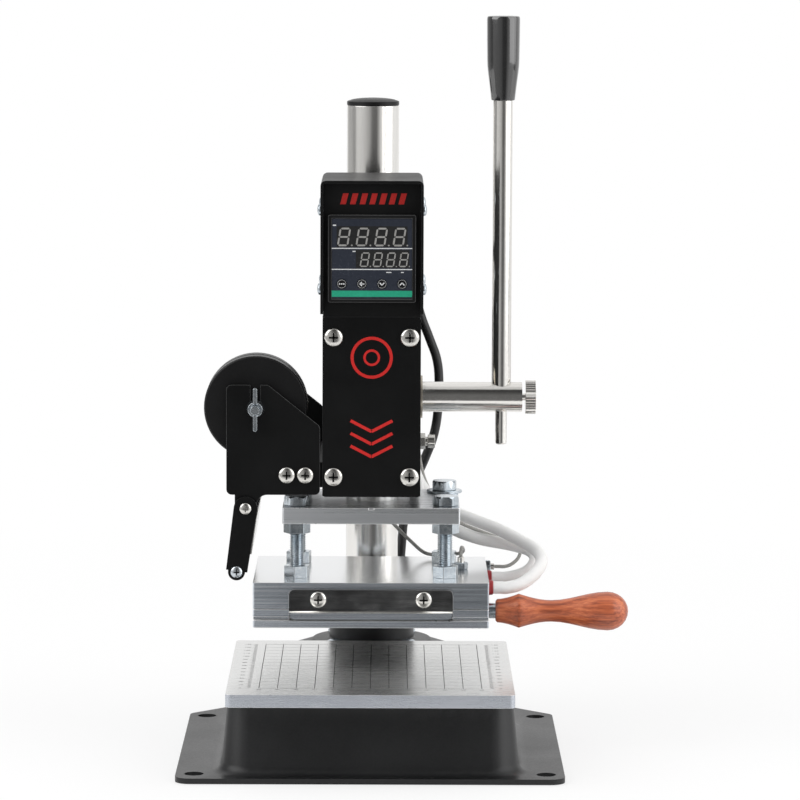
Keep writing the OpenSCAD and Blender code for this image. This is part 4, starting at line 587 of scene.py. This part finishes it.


# leads from the heated block up to the control box
leadRoutes = {
    "heaterLeadFront": [
        (68, 2, 91.45), (72, 2, 91.45), (76, 2, 91.45), (84, 3.5, 93.5), (91.5, 8, 98.5), (95.5, 17, 104),
        (93.2, 30, 108), (85, 43, 111.5), (72, 54.5, 116.7), (58, 63, 121), (44, 70, 126), (33, 76.6, 133),
        (25.6, 79.2, 144), (21.5, 79.3, 162), (19.7, 79.3, 182), (19.5, 79.3, 206), (19.5, 79.3, 234),
        (15.8, 78, 249), (9.5, 72.5, 259), (5, 64, 263), (4, 54, 263.5), (4, 46, 263.5)],
    "heaterLeadRear": [
        (68, 38, 91.45), (72, 38, 91.45), (76, 38, 91.45), (84.5, 38.2, 93.3), (90.5, 40, 96.8),
        (93, 45, 101.5), (89.5, 51.5, 105.3), (78, 56.2, 107.9), (62, 59.5, 110.5), (48, 63.5, 115),
        (37, 67.2, 122), (28.2, 70, 133), (22.9, 71.2, 154), (19.5, 71.3, 182), (19, 71.3, 210),
        (18, 71.2, 235), (15.5, 69, 250), (14, 61.5, 256), (14, 54, 258), (14, 46, 258.5)],
    "probeLead": [
        (50.3, 22, 105.7), (50.3, 23.2, 108.6), (50.8, 27, 110.2), (51.6, 36, 108.5), (52, 46, 105.5),
        (50.5, 54.5, 103), (45.5, 59, 101.6), (39, 60.6, 101.1), (30.4, 61.5, 102.1), (21.8, 63.5, 109),
        (13.2, 67, 117.2), (5, 71, 125.5), (-3, 74, 135.5), (-10, 75.5, 147), (-15.5, 75, 160),
        (-18, 74, 182), (-18, 73, 210), (-18, 71.5, 234), (-16, 68, 248), (-12.5, 61, 256),
        (-10.5, 54, 258.5), (-10, 46, 259)],
    "sideLead": [
        (70, 59, 94.7), (73, 59, 94.7), (76, 59, 94.7), (80, 59.8, 96), (84, 62.5, 99.5), (84.5, 66.5, 103.5),
        (78, 71, 107.5), (64, 75.5, 112), (48, 79.5, 118.5), (37, 83.3, 129), (29.5, 86, 144),
        (26.2, 87, 164), (25, 86.5, 184), (25, 85.5, 210), (24, 83.5, 232), (23, 77.5, 245), (23, 67, 252),
        (23, 54, 254), (23, 46, 254.5)],
}
leadBend = ("frame", (0, 0.06, 112.0 * mm), (0, 0.06, 225.0 * mm))
leadStands = {"heaterLeadFront": ("heater_leads",), "probeLead": ("thermocouples",)}
sleeveLook = {"radius": 3.5, "sides": 24, "finish": "whiteSleeve", "slot": "white_sleeve"}
thinLook = {"radius": 1.0, "sides": 12, "finish": "probeBraid", "slot": "braided_lead"}
for leadName, route in leadRoutes.items():
    lead = sleeveLook if leadName.startswith("heater") else thinLook
    leadMesh = tubeMesh(leadName, smoothRun(route, 8), lead["radius"] * mm, lead["sides"])
    stands = leadStands.get(leadName, ())
    addPiece(leadName, leadMesh, lead["finish"], "press", lead["slot"], stands, leadBend)


# hexagon bodies and ferrules of the two probes: radius, height
probeLook = {"Hex": ([(3.4, 0), (4.0, 0.5), (4.0, 3.4), (3.4, 4.0)], 6, "zincPlate", "zinc_steel"),
             "Ferrule": ([(1.9, 3.8), (1.9, 6.6), (1.4, 7.0), (1.4, 7.1)], 20, "nickelPlate", "plated_steel")}
probePlaces = {"topProbe": lambda a, b, h: Vector((50.3 + a, 22 + b, 98.7 + h)) * mm,
               "sideProbe": lambda a, b, h: Vector((65 + h * 0.72, 59 + a, 94.7 + b)) * mm}
for probeName, probePlace in probePlaces.items():
    for ending, (profile, sides, finishName, slotName) in probeLook.items():
        probeMesh = turnedMesh(probeName + ending, profile, probePlace, sides)
        addPiece(probeName + ending, probeMesh, finishName, "press", slotName)
print("leads and probes in place")


# lever grip: straight above, drawn in below, flat top with a worn edge; share of the height, radius
gripLook = {"sides": 48, "profile": [
    (0.0, 6.5), (0.012, 6.75), (0.1, 7.2), (0.22, 7.9), (0.33, 8.6), (0.4, 8.95), (0.47, 9.1), (0.7, 9.25),
    (0.955, 9.35), (0.975, 9.25), (0.988, 8.95), (0.994, 8.4), (1.0, 4.0), (1.0, 0.6)]}


def makeGrip(look):
    low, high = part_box("lever_grip")
    foot = Vector(((low.x + high.x) / 2, (low.y + high.y) / 2, low.z))
    most = (high.x - low.x) / 2 / mm
    profile = [(min(radius, most), share * (high.z - low.z) / mm) for share, radius in look["profile"]]
    mesh = turnedMesh("leverGrip", profile, lambda a, b, h: foot + Vector((a, b, h)) * mm, look["sides"])
    addPiece("leverGrip", mesh, "gripPlastic", bodyOf["lever_grip"], "glossy_grip", ("lever_grip",))


makeGrip(gripLook)


# return spring, stretched between ram and head
springLow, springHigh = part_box("return_spring")
springBend = ("press", (0, 0.02, springHigh.z), (0, 0.02, springLow.z))
springMesh = easedMesh("return_spring", 0)
addPiece("returnSpring", springMesh, "zincPlate", "frame", "zinc_steel", ("return_spring",), springBend)


# solids dressed with eased edges: finish, slot, finish of the edges (a paler colour there: painted highlight),
# then each node with its edge in mm
dressings = [
    ("basePaint", "black_paint", None, {"base_plate": 0.8, "column_flange": 0.6}),
    ("headPaint", "black_paint", None, {"head_housing": 0.5, "foil_bracket": 0.4}),
    ("headPaint", "black_paint", "paintedEdgeHighlight", {"front_cover": 0.35, "foil_arms": 0.3}),
    ("headPaint", "black_paint", "paintedPaleEdgeHighlight", {"foil_plate_front": 0.45, "foil_plate_rear": 0.45}),
    ("boxPaint", "black_paint", "paintedEdgeHighlight", {"control_chassis": 0.25, "control_cover": 0.4}),
    ("mouldedPlastic", "black_plastic", None, {
        "column_cap": 0.4, "switch_frame": 0.3, "cord_gland": 0.3, "foil_disc_front": 0.3,
        "foil_disc_rear": 0.3, "guide_roller": 0.3}),
    ("mouldedPlastic", "black_plastic", "paintedPaleEdgeHighlight", {"controller_case": 0.35}),
    ("mouldedPlastic", "glossy_face", None, {
        "key_set": 0.1, "key_shift": 0.1, "key_down": 0.1, "key_up": 0.1}),
    ("meterWindow", "glossy_face", None, {"controller_face": 0.1}),
    ("gripPlastic", "black_plastic", None, {"switch_rocker": 0.3}),
    ("zincPlate", "zinc_steel", None, {
        "base_screws": 0.25, "clamp_screws": 0.25, "control_cover_screws": 0.12, "foil_spindle": 0.2,
        "spindle_wing_nut": 0.4, "roller_axle": 0.2, "levelling_nuts": 0.3, "handle_stud": 0.15}),
    ("screwPlate", "zinc_steel", None, {"ram_lock_screw": 0.2}),
    ("screwPlate", "plated_steel", None, {"cover_screws": 0.12}),
    ("screwPlate", "stainless", None, {"foil_screws": 0.12, "clip_screws": 0.12}),
    ("nickelPlate", "plated_steel", None, {
        "guide_strip": 0.2, "pinion_shaft": 0.4, "lever_rod": 0.3, "lever_thumbscrew": 0.12}),
    ("drawnTube", "plated_steel", None, {"column": 0.4}),
    ("ramSteel", "plated_steel", None, {"ram": 0.2}),
    ("tableAluminium", "aluminium", "paintedMetalEdgeHighlight", {"work_table": 0.7}),
    ("sawnAluminium", "aluminium", "paintedMetalEdgeHighlight", {"upper_plate": 0.4}),
    ("blockAluminium", "aluminium", "paintedMetalEdgeHighlight", {"heat_block": 0.4, "die_plate": 0.35}),
    ("clipSteel", "stainless", "paintedMetalEdgeHighlight", {"guide_clips": 0.25}),
    ("sealRed", "red_seal", None, {"heater_seals": 0.5}),
    ("turnedWood", "red_wood", None, {"wood_handle": 0.4}),
]
for finishName, slotName, rimName, edges in dressings:
    coats = (finishName, rimName) if rimName else (finishName,)
    for node, edge in edges.items():
        dressedMesh = easedMesh(node, edge, coats=coats)
        addPiece(node + ".dressed", dressedMesh, finishName, bodyOf[node], slotName, (node,))
print("solids dressed,", sum(len(edges) for finishName, slotName, rimName, edges in dressings))

# solids inside, with a finish of their own and nothing over them
insideFinishes = {"bronze_bushes": "sinteredBronze", "spring_pin": "zincPlate", "pinion_gear": "nickelPlate",
                  "cartridge_heaters": "drawnTube"}
for node, finishName in insideFinishes.items():
    cadNodes[node].data.materials.clear()
    cadNodes[node].data.materials.append(finishes[finishName])


# painted shade: a dark cross at the bottom of each screw's recess stands in for the shade in it; shares of the
# head's width
recessLook = {"nodes": ("cover_screws", "foil_screws", "clip_screws", "control_cover_screws", "roller_axle"),
              "deep": 0.125, "long": 0.49, "wide": 0.096, "head": 0.47}


# corner points of each separate screw in a node
def screwParts(node):
    shape = weldedShape(node)
    left = set(shape.verts)
    while left:
        part, waiting = set(), [left.pop()]
        while waiting:
            vert = waiting.pop()
            part.add(vert)
            for edge in vert.link_edges:
                other = edge.other_vert(vert)
                if other in left:
                    left.discard(other)
                    waiting.append(other)
        yield [vert.co.copy() for vert in part]
    shape.free()


def addCross(shape, spots, look, node):
    low = Vector(min(s[k] for s in spots) for k in range(3))
    top = Vector(max(s[k] for s in spots) for k in range(3))
    size, middle = top - low, (low + top) / 2
    axis = max(range(3), key=lambda k: size[k])
    if node == "foil_screws" and axis == 0:
        return  # these two have sockets
    across, up = [k for k in range(3) if k != axis]
    wide = max(size[across], size[up])
    rim = [s[axis] for s in spots if abs(s[across] - middle[across]) > look["head"] * wide]
    headLow = any(spot < middle[axis] for spot in rim)
    depth = low[axis] + look["deep"] * wide if headLow else top[axis] - look["deep"] * wide
    for a, b in ((look["long"], look["wide"]), (look["wide"], look["long"])):
        corners = []
        for u, v in boxOutline(-a, -b, a, b):
            spot = middle.copy()
            spot[across] += u * wide / 2
            spot[up] += v * wide / 2
            spot[axis] = depth
            corners.append(shape.verts.new(spot))
        shape.faces.new(corners)


for node in recessLook["nodes"]:
    crosses = bmesh.new()
    for spots in screwParts(node):
        addCross(crosses, spots, recessLook, node)
    recessMesh = meshFrom(crosses, node + ".shadeCross")
    addPiece(node + ".shadeCross", recessMesh, "paintedRecessShade", bodyOf[node], "black_plastic")


# painted highlight: a bright tube in the screws' steel finish along the bend of each clip; painted reflection:
# a paler lip under it in the block's aluminium finish, with rounded lower corners
bendLook = {"z": 82.5, "reach": 44.9, "radius": 0.85, "sides": 16, "sink": 0.62, "lipLow": 0.5,
            "lipHigh": 0.05, "corner": [(2.6, 0), (0.7, 0.8), (0.1, 2.6)]}


def makeBends(look):
    clipLow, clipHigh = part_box("guide_clips")
    front, rear, reach = clipLow.y / mm, clipHigh.y / mm, look["reach"]
    for name, y in (("clipBendHighlightFront", front + look["sink"]), ("clipBendHighlightRear", rear - look["sink"])):
        run = [Vector((share * reach, y, look["z"])) * mm for share in (-1, -0.5, 0, 0.5, 1)]
        mesh = tubeMesh(name, run, look["radius"] * mm, look["sides"])
        addPiece(name, mesh, "screwPlate", "press", "stainless")
    low = clipLow.z / mm + look["lipLow"]
    half = [(reach - inset, low + up) for inset, up in look["corner"]]
    half.append((half[-1][0], look["z"]))
    lip = half + [(-x, z) for x, z in reversed(half)]
    for name, place in (("clipLipReflectionFront", facing(front)), ("clipLipReflectionRear", facing(rear, 1))):
        addRaised(name, [lip], place, look["lipHigh"], "blockAluminium", "press", "stainless")


makeBends(bendLook)


# press bolts: hexagon heads and real threads; each spot has x, y and the washer under its head
boltLook = {"spots": [(-41.2, -7.5, 0), (41.2, -7.5, 0), (-41.2, 47.5, 0), (41.2, 47.5, 1.5)],
            "pitch": 1.25, "major": 3.98, "minor": 3.4, "threadSides": 24, "foot": 89.9, "top": 138.9,
            "over": 0.2, "flats": 13.0, "headSides": 48, "headHigh": 5.3, "seat": 0.86 / 0.9, "blunt": 0.965,
            "footEdge": 0.25, "rimDrop": 0.2, "slope": 0.9}


def threadMesh(look, x, y):
    sides = look["threadSides"]
    spots = circle(sides)
    shape = bmesh.new()
    rows = []
    for k in range(int((look["top"] - look["foot"]) / look["pitch"] * 2) + 1):
        radius = look["major"] if k % 2 else look["minor"]
        row = []
        for i, (c, s) in enumerate(spots + spots[:1]):
            z = min(look["foot"] + (k / 2 + i / sides) * look["pitch"], look["top"] + look["over"])
            row.append(shape.verts.new(Vector((x + radius * c, y + radius * s, z)) * mm))
        rows.append(row)
    joinRows(shape, rows, closed=False)
    bmesh.ops.remove_doubles(shape, verts=shape.verts, dist=1e-6)
    return meshFrom(shape, "boltThread", angle=70)


def hexHeadMesh(look, x, y, z, turn):
    half, sixth = look["flats"] / 2, math.pi / 3
    reach = half / math.cos(sixth / 2) * look["blunt"]
    shape = bmesh.new()
    rows = [[], [], [], []]
    for i in range(look["headSides"]):
        a = fullTurn * i / look["headSides"]
        flat = half / math.cos((a + sixth / 2) % sixth - sixth / 2)
        wide = min(flat, reach)
        high = look["headHigh"]
        shoulder = high - look["rimDrop"] - look["slope"] * max(0, flat - half)
        levels = ((half * look["seat"], 0), (wide, look["footEdge"]), (wide, shoulder), (half, high))
        for row, (radius, lift) in zip(rows, levels):
            spot = Vector((x + radius * math.cos(a + turn), y + radius * math.sin(a + turn), z + lift))
            row.append(shape.verts.new(spot * mm))
    joinRows(shape, rows, lids=True)
    return meshFrom(shape, "boltHead", mend=True, angle=25)


for boltNumber, (x, y, washer) in enumerate(boltLook["spots"]):
    head = hexHeadMesh(boltLook, x, y, boltLook["top"] + washer, math.radians(30 + 15 * washer))
    addPiece("pressBoltThread%d" % boltNumber, threadMesh(boltLook, x, y), "zincPlate", "press", "zinc_steel",
             ("press_bolts",) if boltNumber == 0 else ())
    addPiece("pressBoltHead%d" % boltNumber, head, "zincPlate", "press", "zinc_steel")
print("bolts threaded")


# ruled lines, ticks and numbers on the table; long ticks stand every five
rulingLook = {"xEnd": 60, "yFront": -85.7, "yRear": 54.3, "step": 10, "rows": 15, "line": 0.36, "faint": 0.18,
              "tick": 0.14, "tickLong": 2.4, "tickShort": 1.5, "sideTick": 0.12, "sideLong": 3.0,
              "sideShort": 1.8, "sideGap": 4.5, "high": 0.03, "text": 2.6, "textGap": 4.4, "textX": 70.2}
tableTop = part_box("work_table")[1].z / mm


def onTable(u, v, out):
    return Vector((u, v, tableTop + out)) * mm


def upBar(x, wide, y0, y1):
    return boxOutline(x - wide / 2, y0, x + wide / 2, y1)


def crossBar(y, wide, x0, x1):
    return boxOutline(min(x0, x1), y - wide / 2, max(x0, x1), y + wide / 2)


def makeRuling(look):
    front, rear, end, step = look["yFront"], look["yRear"], look["xEnd"], look["step"]
    bold = [upBar(x, look["line"], front, rear) for x in range(-end, end + 1, step)]
    faint = [crossBar(front + k * step, look["faint"], -end, end) for k in range(look["rows"])]
    for x in range(-end, end + 1):
        far = look["tickShort"] if x % 5 else look["tickLong"]
        bold += [upBar(x, look["tick"], front - far, front), upBar(x, look["tick"], rear, rear + far)]
    for k in range(step * (look["rows"] - 1) + 1):
        near = end + look["sideGap"]
        far = near + (look["sideShort"] if k % 5 else look["sideLong"])
        faint += [crossBar(front + k, look["sideTick"], side * near, side * far) for side in (-1, 1)]
    addRaised("tableRuling", bold, onTable, look["high"], "rulingInk", "frame", "aluminium")
    addRaised("tableCrossLines", faint, onTable, look["high"], "faintInk", "frame", "aluminium")


def makeNumbers(look):
    shape = bmesh.new()
    front, end, step = look["yFront"], look["xEnd"], look["step"]
    spots = [(abs(x), x, front - look["textGap"]) for x in range(-end, end + 1, step)]
    for k in range(look["rows"]):
        spots += [(step * k, side * look["textX"], front + k * step) for side in (-1, 1)]
    for number, x, y in spots:
        text = bpy.data.curves.new("rulerNumber", "FONT")
        text.body = str(number)
        text.size = look["text"]
        text.align_x, text.align_y = "CENTER", "CENTER"
        holder = bpy.data.objects.new("rulerNumber", text)
        scene.collection.objects.link(holder)
        flat = settledMesh(holder)
        flat.transform(Matrix.Translation(onTable(x, y, look["high"])) @ Matrix.Diagonal((mm, mm, 1, 1)))
        shape.from_mesh(flat)
        bpy.data.meshes.remove(flat)
    addPiece("tableNumbers", meshFrom(shape, "tableNumbers"), "rulingInk", "frame", "aluminium")


makeRuling(rulingLook)
makeNumbers(rulingLook)
print("table ruled")


# panel controller: digits, windows behind them, lines, green strip
meterLook = {
    "rows": [
        {"x": -15.3, "step": 10.1, "z": 289.0, "wide": 5.2, "high": 9.2, "bar": 0.95, "dot": (4.3, -4.6, 0.45)},
        {"x": -3.9, "step": 7.1, "z": 276.6, "wide": 3.9, "high": 7.3, "bar": 0.7, "dot": (3.0, -3.7, 0.35)}],
    "digits": 4, "digitOut": 0.06, "lean": 0.16, "gap": 0.28,
    "boxes": {
        "meterWindows": ("digitWindow", 0.02, [(-19.3, 283.5, 19.4, 294.9), (-8.8, 272.0, 20.4, 281.9)]),
        "meterLines": ("printPale", 0.05, [
            (-22.0, 282.5, 22.2, 283.0), (-22.0, 271.0, 22.2, 271.5), (-21.4, 295.0, -19.6, 295.7),
            (-10.6, 280.8, -9.0, 281.4), (7.8, 269.4, 10.6, 269.9), (15.8, 269.4, 17.4, 269.9)]),
        "meterStrip": ("printGreen", 0.06, [(-22.0, 256.2, 22.0, 259.6)])},
}
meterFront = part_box("controller_face")[0].y / mm


# seven bars with pointed ends, leaning to the right
def digitOutlines(x, z, row, look):
    half, gap = row["bar"] / 2, row["bar"] * look["gap"]
    w, h = row["wide"] / 2, row["high"] / 2
    bars = [(-w, level, w, level) for level in (h, 0, -h)]
    for side in (-w, w):
        bars += [(side, 0, side, h), (side, -h, side, 0)]
    outlines = []
    for x0, z0, x1, z1 in bars:
        far = math.hypot(x1 - x0, z1 - z0)
        ax, az = (x1 - x0) / far, (z1 - z0) / far
        s, e = gap, far - gap
        points = [(s, 0), (s + half, half), (e - half, half), (e, 0), (e - half, -half), (s + half, -half)]
        corners = [(x0 + ax * a - az * b, z0 + az * a + ax * b) for a, b in points]
        outlines.append([(x + px + look["lean"] * pz, z + pz) for px, pz in corners])
    return outlines


def makeMeterMarks(look):
    digits, place = [], facing(meterFront)
    for row in look["rows"]:
        dotX, dotZ, dot = row["dot"]
        for k in range(look["digits"]):
            x = row["x"] + row["step"] * k
            digits += digitOutlines(x, row["z"], row, look) + [discOutline(x + dotX, row["z"] + dotZ, dot)]
    addRaised("meterDigits", digits, place, look["digitOut"], "digitGlass", "frame", "glossy_face")
    for name, (finish, high, boxes) in look["boxes"].items():
        addRaised(name, [boxOutline(*box) for box in boxes], place, high, finish, "frame", "glossy_face")


# three dots, an arrow to the left, down and up, each in a thin ring
keyLook = {"ring": (2.3, 2.17, 36), "high": 0.04, "marks": {
    "key_set": [discOutline(x, 0, 0.42) for x in (-1.15, 0, 1.15)],
    "key_shift": (bandOutlines([(0.1, 1.1), (-1.2, 0), (0.1, -1.1)], 0.55)
                  + bandOutlines([(-0.8, 0), (1.4, 0)], 0.5)),
    "key_down": bandOutlines([(-1.25, 0.7), (0, -0.65), (1.25, 0.7)], 0.6),
    "key_up": bandOutlines([(-1.25, -0.7), (0, 0.65), (1.25, -0.7)], 0.6)}}


def makeKeyMarks(look):
    ring = ringOutlines(0, 0, *look["ring"])
    for node, mark in look["marks"].items():
        low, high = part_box(node)
        x, z = (low.x + high.x) / 2 / mm, (low.z + high.z) / 2 / mm
        outlines = [[(x + u, z + v) for u, v in outline] for outline in mark + ring]
        addRaised(node + ".mark", outlines, facing(low.y / mm), look["high"], "printPale", bodyOf[node],
                  "glossy_face")


makeMeterMarks(meterLook)
makeKeyMarks(keyLook)
print("controller marked")


# plain red print: slanted bars on the panel, rings and chevrons on the front cover
printLook = {"high": 0.05, "bars": 7, "barLow": 306.6, "barHigh": 312.6, "barFrom": -17.5, "barStep": 5.3,
             "barWide": 3.1, "barLean": 1.6, "ringZ": 222.4, "rings": [(11.6, 9.9), (4.6, 3.3)],
             "chevrons": 3, "chevronZ": 184.0, "chevronStep": 7, "chevronWide": 1.7,
             "chevron": [(-11.5, 3.6), (0, -2.4), (11.5, 3.6)]}


def makePrint(look):
    bars, shapes = [], []
    low, high, lean = look["barLow"], look["barHigh"], look["barLean"]
    for k in range(look["bars"]):
        x0 = look["barFrom"] + k * look["barStep"]
        x1 = x0 + look["barWide"]
        bars.append([(x0, low), (x1, low), (x1 + lean, high), (x0 + lean, high)])
    for outer, inner in look["rings"]:
        shapes += ringOutlines(0, look["ringZ"], outer, inner)
    for k in range(look["chevrons"]):
        z = look["chevronZ"] - look["chevronStep"] * k
        shapes += bandOutlines([(u, z + v) for u, v in look["chevron"]], look["chevronWide"])
    panelFront, coverFront = (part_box(node)[0].y / mm for node in ("control_chassis", "front_cover"))
    addRaised("panelBars", bars, facing(panelFront), look["high"], "printDarkRed", "frame", "black_paint")
    addRaised("coverPrint", shapes, facing(coverFront), look["high"], "printRed", "frame", "black_paint")


makePrint(printLook)
print("prints in place")


# pale studio: paper floor with a soft shadow, running out to white
floorLook = {"left": -2.2, "right": 2.2, "front": -0.38, "back": 1.8, "low": -0.0004, "parts": 12,
             "color": (0.86, 0.86, 0.86, 1), "near": 0.72, "far": 1.0, "nearAt": 0.25, "farAt": 0.9}


def makeFloor(look):
    shape = bmesh.new()
    shares = [k / look["parts"] for k in range(look["parts"] + 1)]
    rows = [[shape.verts.new((look["left"] + (look["right"] - look["left"]) * u,
                              look["front"] + (look["back"] - look["front"]) * v, look["low"]))
             for u in shares] for v in shares]
    joinRows(shape, rows, closed=False)
    mesh = meshFrom(shape, "paleFloor")
    floor = bpy.data.objects.new("paleFloor", mesh)
    scene.collection.objects.link(floor)
    finish, tree, shader = newFinish("floorPaper", Roughness=0.8, Base_Color=look["color"])
    coords = addNode(tree, "ShaderNodeTexCoord").outputs["Object"]
    away = addNode(tree, "ShaderNodeVectorMath", {0: coords}, operation="LENGTH").outputs["Value"]
    white = spread(tree, away, look["near"], look["far"], look["nearAt"], look["farAt"])
    seen = addNode(tree, "ShaderNodeLightPath")
    share = combine(tree, "MULTIPLY", seen.outputs["Is Camera Ray"], white)
    glow = addNode(tree, "ShaderNodeEmission").outputs["Emission"]
    mixed = addNode(tree, "ShaderNodeMixShader", {"Fac": share, 1: shader.outputs["BSDF"], 2: glow})
    tree.links.new(mixed.outputs["Shader"], tree.nodes["Material Output"].inputs["Surface"])
    mesh.materials.append(finish)


# white to look at and plain soft light; metal mirrors a ring, white behind, panels at both sides, dark in front
worldLook = {
    "ambient": (0.54, 0.54, 0.54, 1), "white": (1, 1, 1, 1), "overhead": 0.3, "dimFrom": 0.3, "dimTo": 0.75,
    "ring": [(0.0, 1.0), (0.07, 1.0), (0.11, 0.45), (0.2, 0.4), (0.24, 0.25), (0.266, 0.25), (0.29, 0.62),
             (0.4, 0.52), (0.46, 0.38), (0.49, 0.14), (0.55, 0.1), (0.58, 0.5), (0.63, 1.0), (0.715, 1.0),
             (0.735, 0.22), (0.756, 0.22), (0.78, 0.9), (0.88, 0.85), (0.93, 1.0), (1.0, 1.0)],
}


def makeWorld(look):
    world = bpy.data.worlds.new("studioWhite")
    scene.world = world
    world.use_nodes = True
    tree = world.node_tree
    seen = addNode(tree, "ShaderNodeLightPath").outputs
    coords = addNode(tree, "ShaderNodeTexCoord").outputs["Generated"]
    ways = addNode(tree, "ShaderNodeSeparateXYZ", {"Vector": coords}).outputs
    bearing = combine(tree, "ARCTAN2", ways["X"], combine(tree, "MULTIPLY", ways["Y"], -1))
    around = spread(tree, bearing, 0, 1, -math.pi, math.pi)
    ring = colorSteps(tree, around, [(spot, (level, level, level)) for spot, level in look["ring"]])
    # the ceiling is darker
    dimmer = spread(tree, ways["Z"], 1, look["overhead"], look["dimFrom"], look["dimTo"])
    mirror = addNode(tree, "ShaderNodeVectorMath", {0: ring, "Scale": dimmer}, operation="SCALE")
    shiny = combine(tree, "MAXIMUM", seen["Is Glossy Ray"], seen["Is Transmission Ray"])
    soft = mixColors(tree, shiny, look["ambient"], mirror.outputs["Vector"])
    whole = mixColors(tree, seen["Is Camera Ray"], soft, look["white"])
    tree.links.new(whole, tree.nodes["Background"].inputs["Color"])


lampLooks = {
    "leftSoftbox": {"place": (-1.7, -0.7, 1.45), "size": 2.0, "power": 29.0},
    "rightSoftbox": {"place": (1.8, -0.6, 1.1), "size": 2.2, "power": 24.0},
    "topSoftbox": {"place": (0.0, 0.5, 1.9), "size": 3.0, "power": 17.0},
}
lampAim = Vector((0, 0, 0.18))


def makeLamp(name, look):
    data = bpy.data.lights.new(name, "AREA")
    data.size = look["size"]
    data.energy = look["power"]
    lamp = bpy.data.objects.new(name, data)
    lamp.location = look["place"]
    lamp.rotation_euler = (lampAim - lamp.location).to_track_quat("-Z", "Y").to_euler()
    scene.collection.objects.link(lamp)


makeFloor(floorLook)
makeWorld(worldLook)
for lampName, lampLook in lampLooks.items():
    makeLamp(lampName, lampLook)
print("studio ready")
